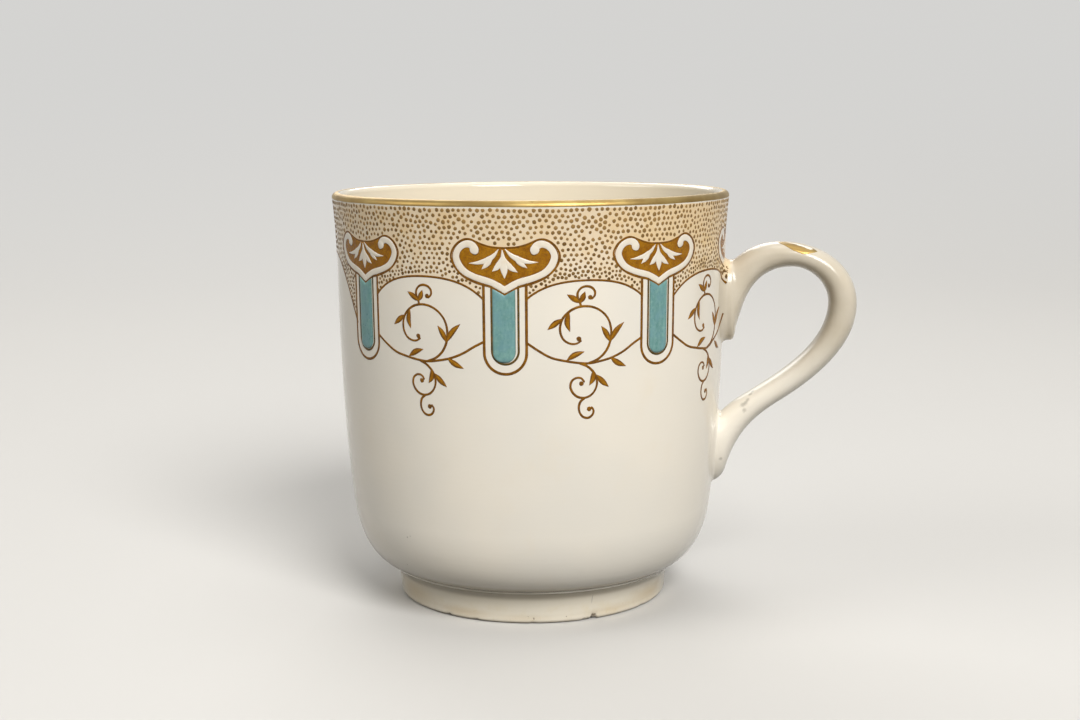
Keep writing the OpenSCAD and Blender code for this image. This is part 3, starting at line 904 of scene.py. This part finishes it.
# smooth path through a few points: cubic Hermite stretches over chord length, sampled evenly
def smoothPath(points, step):
    p = np.array(points, float)
    d = np.concatenate([[0], np.cumsum(np.linalg.norm(np.diff(p, axis=0), axis=1))])
    slope = np.gradient(p, d, axis=0) if len(p) > 2 else np.repeat((p[1:] - p[:1]) / d[-1], 2, 0)
    x = np.linspace(0, d[-1], max(4, int(d[-1] / step)))
    k = np.clip(np.searchsorted(d, x) - 1, 0, len(p) - 2)
    h = (d[k + 1] - d[k])[:, None]
    t = ((x - d[k])[:, None]) / h
    return ((1 + 2 * t) * (1 - t) ** 2 * p[k] + t * (1 - t) ** 2 * h * slope[k]
            + t * t * (3 - 2 * t) * p[k + 1] + t * t * (t - 1) * h * slope[k + 1])


# bead along a path on the wall: half width follows shares along it, ends fall off in a quarter circle
def stroke(points, width, shares=(1, 1), lift=relief["line"], step=relief["step"]):
    path = smoothPath(points, step)
    along = np.gradient(path, axis=0)
    along /= np.linalg.norm(along, axis=1, keepdims=True)
    half = width / 2 * np.interp(np.linspace(0, 1, len(path)), np.linspace(0, 1, len(shares)), shares)
    turn = np.radians([82, 58, 30])
    head = path[0] - along[0] * half[0] * np.sin(turn)[:, None]
    tail = path[-1] + along[-1] * half[-1] * np.sin(turn[::-1])[:, None]
    path = np.concatenate([head, path, tail])
    half = np.concatenate([half[0] * np.cos(turn), half, half[-1] * np.cos(turn[::-1])])
    along = np.concatenate([np.repeat(along[:1], len(turn), 0), along, np.repeat(along[-1:], len(turn), 0)])
    side = np.stack([-along[:, 1], along[:, 0]], 1)
    across = np.array([1, 0.8, 0.35, -0.35, -0.8, -1])
    rise = np.array([-relief["sink"], lift * 0.75, lift, lift, lift * 0.75, -relief["sink"]])
    flat = path[:, None] + side[:, None] * (half[:, None] * across)[..., None]
    return skin(np.concatenate([flat, np.broadcast_to(rise, flat.shape[:2])[..., None]], -1))


# closed part from the points of its top, with the same points sunk into the glaze beneath
def laidOn(top):
    under = top[:, ::-1].copy()
    under[..., 2] = -relief["sink"]
    return skin(np.concatenate([top, under], 1))


# filled shape between a lower and an upper height at each arc, in even rows
def filled(arcs, low, high, lift, rows=8):
    v = np.linspace(0, 1, rows)
    z = low[:, None] + (high - low)[:, None] * v
    return laidOn(np.stack([arcs[:, None] + 0 * v, z, lift + 0 * z], -1))


# the same places on the other side of the middle
def mirrored(points):
    return [(-s, z) for s, z in points]


# copies of one flat part at several angles on the wall
def around(part, angles):
    return joined([(onWall(part[0], a), part[1], part[2]) for a in angles])


# height drawn towards the fixed height by part of a scrolled panel's own share
def drawnUp(z, give, share):
    fixed, yielding = give
    return fixed + (z - fixed) * (1 - (1 - share) * yielding)


# copies at the scrolled panels, each shifted and drawn up by its own share
def atMotifs(part, give, skipHandle=False):
    copies = []
    for place, shift, share in motifs[1 if skipHandle else 0:]:
        flat = part[0].copy()
        flat[:, 0] += shift
        flat[:, 1] = drawnUp(flat[:, 1], give, share)
        copies.append((onWall(flat, place * panelAngle, place != 0), part[1], part[2]))
    return copies


# piece of the print that is repeated at the scrolled panels
def addAtMotifs(name, part, give, look, skipHandle=False):
    addPiece(name, joined(atMotifs(part, give, skipHandle)), finish[look])


# round dots, each a ring, a shoulder and a low crown, with shaken outlines
def dots(places, radii, lift=relief["dot"], sides=10, shake=0.07):
    a = np.arange(sides) * 2 * np.pi / sides
    ring = np.stack([np.cos(a), np.sin(a), 0 * a], 1)
    shoulder, shoulderHeight = 0.72, 0.85
    unit = np.stack([ring, ring * shoulder])
    unit[0, :, 2], unit[1, :, 2] = -relief["sink"] / lift, shoulderHeight
    verts, quads, tris = skin(unit)
    verts[-1, 2], verts[-2, 2] = 1, -relief["sink"] / lift
    n, m = len(places), len(verts)
    uneven = 1 + shake * rng.standard_normal((n, m))
    flat = places[:, None] + verts[None, :, :2] * (radii[:, None] * np.clip(uneven, 0.7, 1.3))[..., None]
    flat = np.concatenate([flat, np.broadcast_to(verts[None, :, 2:] * lift, (n, m, 1))], -1)
    shift = (np.arange(n) * m)[:, None, None]
    return flat.reshape(-1, 3), (quads + shift).reshape(-1, 4), (tris + shift).reshape(-1, 3)


# scrolled panel: outer line, scroll and leaves of the right half as places on the wall
scroll = dict(
    outline=[(0, 52.45), (0.6, 52.8), (1.2, 53.13), (1.8, 53.42), (2.5, 53.64), (3.3, 53.82), (4.75, 54.3),
             (6.1, 55.0), (7.05, 55.85), (7.75, 56.9), (8.0, 57.95), (7.6, 59.05), (6.75, 59.95),
             (5.7, 60.42), (4.9, 60.38), (4.2, 60.08), (3.25, 59.68), (2.0, 59.33), (0, 59.17)],
    band=[(0, 53.12), (0.55, 53.44), (1.1, 53.76), (2.0, 54.2), (3.3, 54.58), (4.7, 55.05), (6.0, 55.75),
          (6.9, 56.85), (7.2, 57.9), (6.85, 58.85), (6.05, 59.55), (5.2, 59.72), (4.55, 59.35), (4.35, 58.9)],
    bandWidth=1.1, bandShares=(0.95, 1, 1, 1.05, 1, 1, 1.05, 1.12, 1.1, 1, 1, 1.15, 1.3),
    fieldLow=[(0, 53.3), (2.0, 54.3), (3.3, 54.65), (4.7, 55.1), (6.0, 55.8), (6.9, 56.9), (7.2, 57.9)],
    fieldHigh=[(0, 59.17), (2.0, 59.33), (3.25, 59.68), (4.2, 60.05), (5.2, 59.85), (6.1, 59.5), (6.85, 58.8),
               (7.2, 57.95)],
    fieldHalf=7.18, fineStep=0.1, lineWidth=0.32, blob=(4.38, 58.92, 0.82), shade=0.22,
    tip=(52.58, 0.56, 0.9, 1.75),  # lowest height, slope, height and half width of the middle's white point
)
# white leaves on the field as (spine, greatest width, shares of it along the spine)
longLeaf = (0.12, 0.65, 1, 0.85, 0.5, 0.06)
sideLobe = (0.25, 0.7, 1, 0.85, 0.08)
shortLobe = (0.4, 1, 0.85, 0.08)
leaves = [
    ([(-0.3, 58.8), (-0.15, 57.2), (-0.05, 56.0), (0.0, 54.85)], 1.35, (0.14, 0.45, 0.85, 1, 0.75, 0.1)),
    ([(-0.3, 58.0), (-0.6, 57.1), (-1.1, 56.35), (-1.75, 55.8)], 1.0, sideLobe),
    ([(-0.2, 58.0), (0.25, 57.1), (0.95, 56.3), (1.85, 55.68)], 1.0, sideLobe),
    ([(0.15, 59.0), (0.95, 58.15), (2.15, 57.5), (3.4, 57.15), (4.85, 57.1)], 0.95, longLeaf),
    ([(1.5, 57.75), (2.3, 57.0), (3.25, 56.3)], 0.85, shortLobe),
    ([(-0.85, 58.95), (-1.5, 58.1), (-2.65, 57.35), (-3.9, 57.0), (-5.2, 56.9)], 0.95, longLeaf),
    ([(-1.85, 57.55), (-2.5, 56.85), (-3.3, 56.1)], 0.85, shortLobe),
]
# tendril of a plain panel: lines, end dots and leaves, arc from the panel's middle
tendril = dict(
    span=9.1,
    swag=[(-9.1, 45.4), (-7.4, 44.25), (-5.4, 43.15), (-3.4, 42.65), (-1.4, 42.3), (0.3, 42.17), (2.0, 42.4),
          (4.0, 42.85), (6.0, 43.7), (7.7, 44.75), (9.1, 45.5)],
    vine=[(0.3, 42.2), (1.7, 42.75), (2.85, 43.75), (3.55, 45.1), (3.75, 46.9), (3.25, 48.6), (2.45, 49.55),
          (1.05, 50.37), (-0.55, 50.6), (-1.75, 50.38), (-2.95, 49.67), (-3.75, 48.7), (-4.05, 47.55),
          (-3.9, 46.45), (-3.4, 45.65), (-2.45, 45.15), (-1.55, 45.17), (-0.98, 45.5)],
    curlTop=[(-0.95, 50.6), (-1.1, 51.2), (-1.45, 51.95), (-1.42, 52.65), (-1.0, 53.22), (-0.2, 53.5),
             (0.7, 53.27), (1.18, 52.65), (1.1, 52.05), (0.72, 51.68)],
    tail=[(-1.05, 42.2), (0.0, 41.75), (0.95, 40.9), (1.48, 39.95), (1.55, 38.9), (1.2, 38.0), (0.5, 37.32),
          (-0.4, 37.05), (-1.3, 37.2), (-2.1, 37.83), (-2.5, 38.75), (-2.28, 39.63), (-1.55, 40.08),
          (-0.8, 39.95), (-0.45, 39.5)],
    curlLow=[(-0.3, 37.05), (-0.95, 36.5), (-1.2, 35.6), (-1.0, 34.75), (-0.4, 34.12), (0.35, 34.05),
             (0.92, 34.45), (1.1, 35.05), (0.82, 35.55)],
    width=0.41, shares=(1, 1.1, 0.9, 1.05, 1, 0.85),
    dots=[(-1.25, 45.85, 0.44), (0.45, 51.87, 0.4), (-0.82, 39.2, 0.42), (0.4, 35.35, 0.43)],
    leafWidth=1.0, leafShares=(0.25, 0.78, 1, 0.92, 0.6, 0.1), leafFill=0.55,
    leaves=[[(-1.1, 51.15), (-2.0, 51.75), (-3.0, 52.35)], [(-1.05, 51.15), (-0.65, 51.9), (-0.35, 52.7)],
            [(-3.9, 48.75), (-4.75, 48.15), (-5.85, 47.3)], [(-2.75, 49.65), (-3.0, 48.3), (-2.6, 46.95)],
            [(3.5, 45.35), (2.95, 46.5), (2.2, 47.55)], [(3.65, 45.35), (4.6, 46.85), (5.8, 47.95)],
            [(-2.95, 42.8), (-1.8, 43.5), (-0.45, 43.92)], [(3.8, 42.75), (4.9, 42.0), (6.2, 41.42)],
            [(1.0, 41.0), (0.95, 39.9), (0.4, 38.92)], [(1.6, 40.3), (2.4, 39.4), (3.4, 38.53)]],
)
# lines of the two panels beside the handle: cut off at an arc from the middle, then led along the root
atRoot = dict(
    archCut=6.5, arch=[(6.78, 53.15), (7.06, 52.4), (7.75, 51.8), (8.28, 51.37)],
    swagCut=0.5, swag=[(1.6, 42.5), (3.0, 43.1), (4.8, 43.8), (6.4, 44.75), (7.1, 45.6), (7.5, 46.55)],
    dots=((3.72, 54.13), (2.82, 53.77), (4.21, 53.34), (3.93, 52.39), (3.3, 53.2), (3.87, 51.1)),
)
# hanging drops: the outer line and the line round the enamel
drop = dict(
    outerHalf=border["dropHalf"], outerBottom=40.75, outerTop=54.35, outerWidth=0.48,
    innerHalf=1.96, innerBottom=42.2, innerTop=54.1, innerWidth=0.37,
)


# line of a hanging drop: straight down, round below, straight up
def dropPath(half, bottom, top):
    bend = arc((0, bottom + half), half, 180, 360, 25)
    sides = np.linspace(top, bottom + half, 30)[:-1]
    left = np.stack([np.full(len(sides), -half), sides], 1)
    return np.concatenate([left, bend, left[::-1] * (-1, 1)])


# height of the back ground's lower edge at a distance from the last drop
def backEdge(fromDrop):
    return backHeight(np.clip((fromDrop - back["start"]) / back["reach"], 0, 1))


# line beside the handle, which is on the right for side 1: points past the cut give way to those at the root
def ledToRoot(path, side, cut, points):
    kept, ending = path[side * path[:, 0] < cut], np.array(points) * (side, 1)
    return np.concatenate([kept, ending] if side > 0 else [ending[::-1], kept])


# arch and swag of one panel, stretched between the drops on both sides of it
def panelLines(place):
    shifts = {here: shift for here, shift, _ in motifs}
    half = panelAngle * cup["wallRadius"] / 2 - drop["outerHalf"]
    left, right = half - shifts[place], half + shifts[(place + 1) % border["panels"]]
    s = np.linspace(-left, right, 60)
    arch = np.stack([s, archHeight(s) + border["raisedBy"] * (place == border["raisedPanel"])], 1)
    swag = np.array(tendril["swag"])
    swag[:, 0] *= np.where(swag[:, 0] > 0, right, left) / tendril["span"]
    side = {0: -1, border["panels"] - 1: 1}.get(place, 0)
    if side:
        arch = ledToRoot(arch, side, atRoot["archCut"], atRoot["arch"])
        swag = ledToRoot(swag, side, atRoot["swagCut"], atRoot["swag"])
    lines = [stroke(arch, border["archWidth"]), stroke(swag, tendril["width"])]
    return around(joined(lines), [(place + 0.5) * panelAngle])


# lines of the scrolled panels, drops, arches, sprays and the plain back
def buildLines():
    halves = [scroll["outline"], mirrored(scroll["outline"])]
    motif = joined([stroke(h, scroll["lineWidth"]) for h in halves])
    outer, inner = (stroke(dropPath(drop[k + "Half"], drop[k + "Bottom"], drop[k + "Top"]), drop[k + "Width"])
                    for k in ("outer", "inner"))
    addAtMotifs("border_drop_lines", inner, dropGive, "dropInk", skipHandle=True)
    keys = ("vine", "curlTop", "tail", "curlLow")
    sprays = [stroke(tendril[k], tendril["width"], tendril["shares"]) for k in keys]
    sprays += [stroke(p, tendril["leafWidth"], tendril["leafShares"]) for p in tendril["leaves"]]
    ends = np.array(tendril["dots"])
    sprays.append(dots(ends[:, :2], ends[:, 2], relief["line"], 16))
    d = np.linspace(back["start"], panelAngle * cup["wallRadius"] + 0.1, 90)
    first = border["lastDrop"]
    edges = [around(stroke(np.stack([side * d, backEdge(d)], 1), border["backWidth"]), [place * panelAngle])
             for side, place in ((1, first), (-1, border["panels"] - first))]
    angles = (np.array(sprayPlaces) + 0.5) * panelAngle
    parts = atMotifs(motif, scrollGive) + atMotifs(outer, dropGive, True) + edges
    parts += [panelLines(place) for place in sprayPlaces] + [around(joined(sprays), angles)]
    addPiece("border_lines", joined(parts), finish["ink"])
    width = tendril["leafWidth"] * tendril["leafFill"]
    fills = [stroke(p, width, tendril["leafShares"], relief["leaf"]) for p in tendril["leaves"]]
    addPiece("border_leaf_fills", around(joined(fills), angles), finish["field"])


# fields, scrolls and leaves of the scrolled panels, with a darker edge of ink under the white
def buildScrolls():
    s = np.linspace(-scroll["fieldHalf"], scroll["fieldHalf"], 120)
    low, high = (np.interp(np.abs(s), *np.transpose(smoothPath(scroll[k], scroll["fineStep"])))
                 for k in ("fieldLow", "fieldHigh"))
    addAtMotifs("border_fields", filled(s, low, high, relief["field"], 14), scrollGive, "field")
    halves = [scroll["band"], mirrored(scroll["band"])]
    bands = [(half, scroll["bandWidth"], scroll["bandShares"]) for half in halves]
    x, z, r = scroll["blob"]
    blobs = np.array([(x, z), (-x, z)])
    wider = scroll["shade"]
    shade = [stroke(spine, width + wider, shares, relief["shade"]) for spine, width, shares in bands + leaves]
    shade.append(dots(blobs, np.full(2, r + wider / 2), relief["shade"], 24))
    addAtMotifs("border_field_edges", joined(shade), scrollGive, "ink")
    white = [stroke(*b, relief["scroll"] + i * relief["layer"]) for i, b in enumerate(bands)]
    white += [stroke(*b, relief["leaf"] - i % 3 * relief["layer"]) for i, b in enumerate(leaves)]
    white.append(dots(blobs, np.full(2, r), relief["knob"], 24, 0.01))
    lowest, slope, tall, reach = scroll["tip"]
    s = np.linspace(-reach, reach, 41)
    low = lowest + slope * np.abs(s)
    white.append(filled(s, low, low + tall, relief["scroll"] - relief["layer"]))
    addAtMotifs("border_reserves", joined(white), scrollGive, "reserve")


# enamel in the drops: half width, shift in each drop, lower end, gap below the scroll, thickness, rounding
enamelShape = dict(
    half=1.7, shifts=(0.06, -0.1, 0.1, -0.05, -0.15, -0.02), bottom=dropLow[2], tuck=0.08,
    thick=0.16, edge=0.004, rounding=2.2,
)


# enamel: a low cushion inside each drop's line, round below, its top tucked under the point of the scroll,
# its thickness a quarter ellipse of the distance from its edge
def buildDrops():
    e = enamelShape
    s = e["half"] * np.sin(np.linspace(-math.pi / 2, math.pi / 2, 41))
    v = np.linspace(0, 1, 40)
    for i, (place, shift, share) in enumerate(motifs[1:], 1):
        laid = s + e["shifts"][i - 1]
        point = np.interp(np.abs(laid), *np.transpose(scroll["outline"][:6]))
        bottom = drawnUp(e["bottom"], dropGive, share)
        low = bottom + e["half"] - np.sqrt(np.maximum(0, e["half"] ** 2 - s * s))
        high = drawnUp(point, scrollGive, share) - e["tuck"]
        z = low[:, None] + (high - low)[:, None] * v
        fromEnds = np.minimum(z - bottom, high[:, None] - z) / e["half"]
        edge = np.minimum(1 - np.abs(s[:, None]) / e["half"], fromEnds)
        lift = e["thick"] * (1 - (1 - np.clip(edge * e["rounding"], 0, 1)) ** 2) ** 0.5 - e["edge"]
        flat, quads, tris = laidOn(np.stack([laid[:, None] + shift + 0 * v, z, lift], -1))
        part = (onWall(flat, place * panelAngle), quads, tris)
        addPiece(f"enamel_fill_{i}", part, finish["enamel"], [f"enamel_drop_{i}"],
                 values={"inward": overAndBack(edge * e["half"])})


# stippled ground: rows above fineBelow, finer ones under it, sizes and tones as (least, gain upwards, spread)
stipple = dict(
    rowPitch=0.79, pitch=0.895, apart=0.81, margin=0.4, topRow=64.5, lowest=45.0,
    fineRow=0.58, finePitch=0.67, fineApart=0.64, fineMargin=0.26, fineBelow=55.6,
    shake=0.2, topShake=0.35, topSlack=0.12, overlap=0.35, rounds=10, ease=0.4,
    radius=0.318, sizes=(0.85, 0.2, 0.1), tones=(0.25, 0.5, 0.18), gainFrom=54, gainOver=9,
)


# stippled ground: staggered rows of dots, shaken, pushed apart by their overlap in a few rounds, and kept
# off the scrolls, drops and arches
def buildStipple():
    rim = 2 * math.pi * cup["wallRadius"]

    # even rows right round the cup, every second one half a step on
    def staggered(top, bottom, rowPitch, pitch):
        count = int(rim / pitch)
        rows = np.arange(top, bottom, -rowPitch)
        col, row = np.meshgrid(np.arange(count), np.arange(len(rows)))
        return np.stack([(col + 0.5 * (row % 2)) * rim / count, rows[row]], -1).reshape(-1, 2)

    # one value for the rows above fineBelow, another for the finer ones
    def byRow(coarse, fine):
        return np.where(place[:, 1] > stipple["fineBelow"], stipple[coarse], stipple[fine])

    place = np.concatenate([
        staggered(stipple["topRow"], stipple["fineBelow"], stipple["rowPitch"], stipple["pitch"]),
        staggered(stipple["fineBelow"], stipple["lowest"], stipple["fineRow"], stipple["finePitch"])])
    inTopRow = place[:, 1:] > stipple["topRow"] - 0.1
    shake = stipple["shake"] * rng.standard_normal(place.shape)
    place += shake * np.where(inTopRow, (1, stipple["topShake"]), 1)
    place = place[offPattern(place, -stipple["overlap"])]
    for _ in range(stipple["rounds"]):
        gap = place[:, None] - place[None]
        gap[..., 0] -= rim * np.round(gap[..., 0] / rim)
        d = np.sqrt((gap ** 2).sum(-1)) + np.eye(len(place)) * rim
        own = byRow("apart", "fineApart") / 2
        push = np.clip(own[:, None] + own[None] - d, 0, None)
        place += (gap / d[..., None] * push[..., None]).sum(1) * stipple["ease"]
        place[:, 1] = np.minimum(place[:, 1], stipple["topRow"] + stipple["topSlack"])
    place = place[offPattern(place, byRow("margin", "fineMargin"))]
    beside = np.array(atRoot["dots"])
    place = np.concatenate([place, beside, beside * (-1, 1)])
    count = len(place)
    height = np.clip((place[:, 1] - stipple["gainFrom"]) / stipple["gainOver"], 0, 1)
    least, gain, spread = stipple["sizes"]
    uneven = np.clip(1 + spread * rng.standard_normal(count), 0.7, 1.3)
    flat, quads, tris = dots(place, stipple["radius"] * (least + gain * height) * uneven)
    least, gain, spread = stipple["tones"]
    tone = np.clip(least + gain * height + spread * rng.standard_normal(count), 0, 1)
    values = {"tone": np.repeat(tone, len(flat) // count)}
    addPiece("border_stipple", (onWall(flat, 0.0), quads, tris), finish["dot"], values=values)
    print("dots in the ground:", count)


# True where a place is clear of scrolled panels, drops, arches and the handle's root by a margin
def offPattern(place, margin):
    step = panelAngle * cup["wallRadius"]
    nearest = np.round(place[:, 0] / step) % border["panels"]
    offset = (place[:, 0] / step + 0.5) % 1 * step - step / 2
    z = place[:, 1]
    shape = smoothPath(scroll["outline"], 0.05)
    far = np.argmax(shape[:, 0])
    clear = np.ones(len(place), bool)
    for k, shift, share in motifs:
        here = nearest == k
        d = np.abs(offset - shift)
        stretched = scrollGive[0] + (z - scrollGive[0]) / share
        low = np.interp(d, *shape[:far + 1].T)
        high = np.interp(d, *shape[far:][::-1].T)
        inScroll = (d < shape[far, 0] + margin) & (stretched > low - margin) & (stretched < high + margin)
        inDrop = (d < drop["outerHalf"] + margin) & (z < border["dropTop"] + 0.5)
        clear &= ~(here & (inScroll | inDrop))
    turn = place[:, 0] / step % border["panels"]
    atBack = np.abs(turn - border["panels"] / 2) < 1
    raised = border["raisedBy"] * (np.floor(turn) == border["raisedPanel"])
    edge = np.where(atBack, backEdge((1 - np.abs(turn - border["panels"] / 2)) * step),
                    archHeight(step / 2 - np.abs(offset)) + raised)
    slip = slipAt(place[:, 0] / cup["wallRadius"], wallAt(z), z)
    onRoot = slip > loop["upperSlip"] * loop["steepSlip"]
    return clear & (z > edge + margin) & ~onRoot


buildLines()
buildScrolls()
buildDrops()
buildStipple()
print("border made")

# floor in metres, and the distances in millimetres over which it turns to the far tone
stage = dict(
    flat=0.5, wide=1.6, rise=0.9, below=0.00005, turns=96, farFrom=250.0, farTo=1100.0,
    colour=(0.60, 0.596, 0.584), bounce=(0.10, 0.096, 0.087), far=(0.66, 0.655, 0.64),
)


# 1 for what the camera sees straight, mirrored or through glass, 0 for light that bounces off softly
def seenDirectly(wire):
    kinds = ("Is Camera Ray", "Is Glossy Ray", "Is Transmission Ray")
    rays = [wire.node("ShaderNodeLightPath", out=kind) for kind in kinds]
    return wire.math("MINIMUM", rays[0] + rays[1] + rays[2], 1.0)


# floor: flat near the cup, sweeping up to a wall all round as a quarter ellipse, an even pale tone far off
def buildStage():
    flat = level(0.01, stage["flat"], 0.0, 12)
    a = np.linspace(0, math.pi / 2, 30)[1:]
    out = stage["flat"] + (stage["wide"] - stage["flat"]) * np.sin(a)
    sweep = np.stack([out, stage["rise"] * (1 - np.cos(a))], 1)
    rings = turned(np.concatenate([flat, sweep]) - (0, stage["below"]), stage["turns"])
    n, m, _ = rings.shape
    quads = gridQuads(n, m)[:, [0, 3, 2, 1]]
    mesh = bpy.data.meshes.new("floor")
    mesh.from_pydata(rings.reshape(-1, 3).tolist(), [], quads.tolist() + [list(range(m))])
    mesh.shade_smooth()
    material, shader, spot = newFinish("paleFloor", {"Roughness": 0.75, "Specular IOR Level": 0.2})
    seen = seenDirectly(spot)
    feed(shader, "Base Color", mixed(seen, stage["bounce"], stage["colour"]))
    x, y, _ = split(spot)
    far = smooth(fromAxis(x, y), stage["farFrom"], stage["farTo"])
    glow = spot.node("ShaderNodeEmission", None, {"Color": (*stage["far"], 1), "Strength": 1.0})
    lit = Wire(spot.tree, shader.outputs[0])
    both = spot.node("ShaderNodeMixShader", None, {0: far * seen, 1: lit, 2: glow})
    feed(spot.tree.nodes["Material Output"], 0, both)
    mesh.materials.append(material)
    floor = placed("floor", mesh)


# soft lamps as (name, place, size, watts, colour), all aimed at the middle of the cup
lamps = [
    ("key", (0.60, -0.96, 0.88), 0.75, 23.2, (1.0, 0.975, 0.94)),
    ("fill", (-1.12, -0.52, 0.68), 0.9, 6.0, (1.0, 0.97, 0.92)),
    ("top", (0.15, 0.18, 1.2), 0.75, 3.2, (1.0, 0.985, 0.96)),
    ("back", (-0.4, 1.3, 0.75), 1.2, 12.0, (1.0, 0.985, 0.96)),
]
# even light of the room, and the tone that the camera sees there
worldLight = dict(colour=(0.93, 0.89, 0.82), strength=0.24, seen=(0.80, 0.80, 0.795))


# lamps turned to point from their place to the middle of the cup, and a room that only adds even light
def buildLight():
    middle = Vector((0, 0, cup["height"] / 2 * mm))
    for name, place, size, watts, colour in lamps:
        data = bpy.data.lights.new(name, "AREA")
        data.shape, data.size, data.energy, data.color = "DISK", size, watts, colour
        lamp = placed(name, data)
        lamp.location = place
        lamp.rotation_euler = (middle - Vector(place)).to_track_quat("-Z", "Y").to_euler()
    world = bpy.data.worlds.new("room")
    world.use_nodes = True
    bpy.context.scene.world = world
    world.node_tree.nodes.clear()
    wire = Wire(world.node_tree)
    lit, seen = (wire.node("ShaderNodeBackground", None, {"Color": (*worldLight[k], 1), "Strength": strength})
                 for k, strength in (("colour", worldLight["strength"]), ("seen", 1.0)))
    both = wire.node("ShaderNodeMixShader", None, {0: seenDirectly(wire), 1: lit, 2: seen})
    wire.node("ShaderNodeOutputWorld", None, {0: both})


# camera: distance, height and sideways shift from the axis in millimetres, angles in degrees, lens and sensor
view = dict(
    distance=257.9, height=78.5, side=1.38, azimuth=7.2, pitch=8.93, roll=0.303, lens=52.72, sensor=36.0,
)


# the camera's right, up and back vectors from its azimuth, pitch and roll make its matrix
def buildCamera():
    az, p, roll = (math.radians(view[k]) for k in ("azimuth", "pitch", "roll"))
    turn = Matrix.Rotation(az, 3, "Z")
    right = turn @ Vector((1, 0, 0))
    ahead = turn @ Vector((0, math.cos(p), -math.sin(p)))
    up = right.cross(ahead)
    right, up = right * math.cos(roll) - up * math.sin(roll), right * math.sin(roll) + up * math.cos(roll)
    data = bpy.data.cameras.new("camera")
    data.lens, data.sensor_width = view["lens"], view["sensor"]
    data.clip_start, data.clip_end = 0.01, 20.0
    camera = placed("camera", data)
    place = turn @ Vector((view["side"], -view["distance"], view["height"])) * mm
    camera.matrix_world = Matrix.Translation(place) @ Matrix((right, up, -ahead)).transposed().to_4x4()
    bpy.context.scene.camera = camera


buildStage()
buildLight()
buildCamera()
bpy.context.scene.view_settings.view_transform = "Standard"
print("stage, light and camera set")
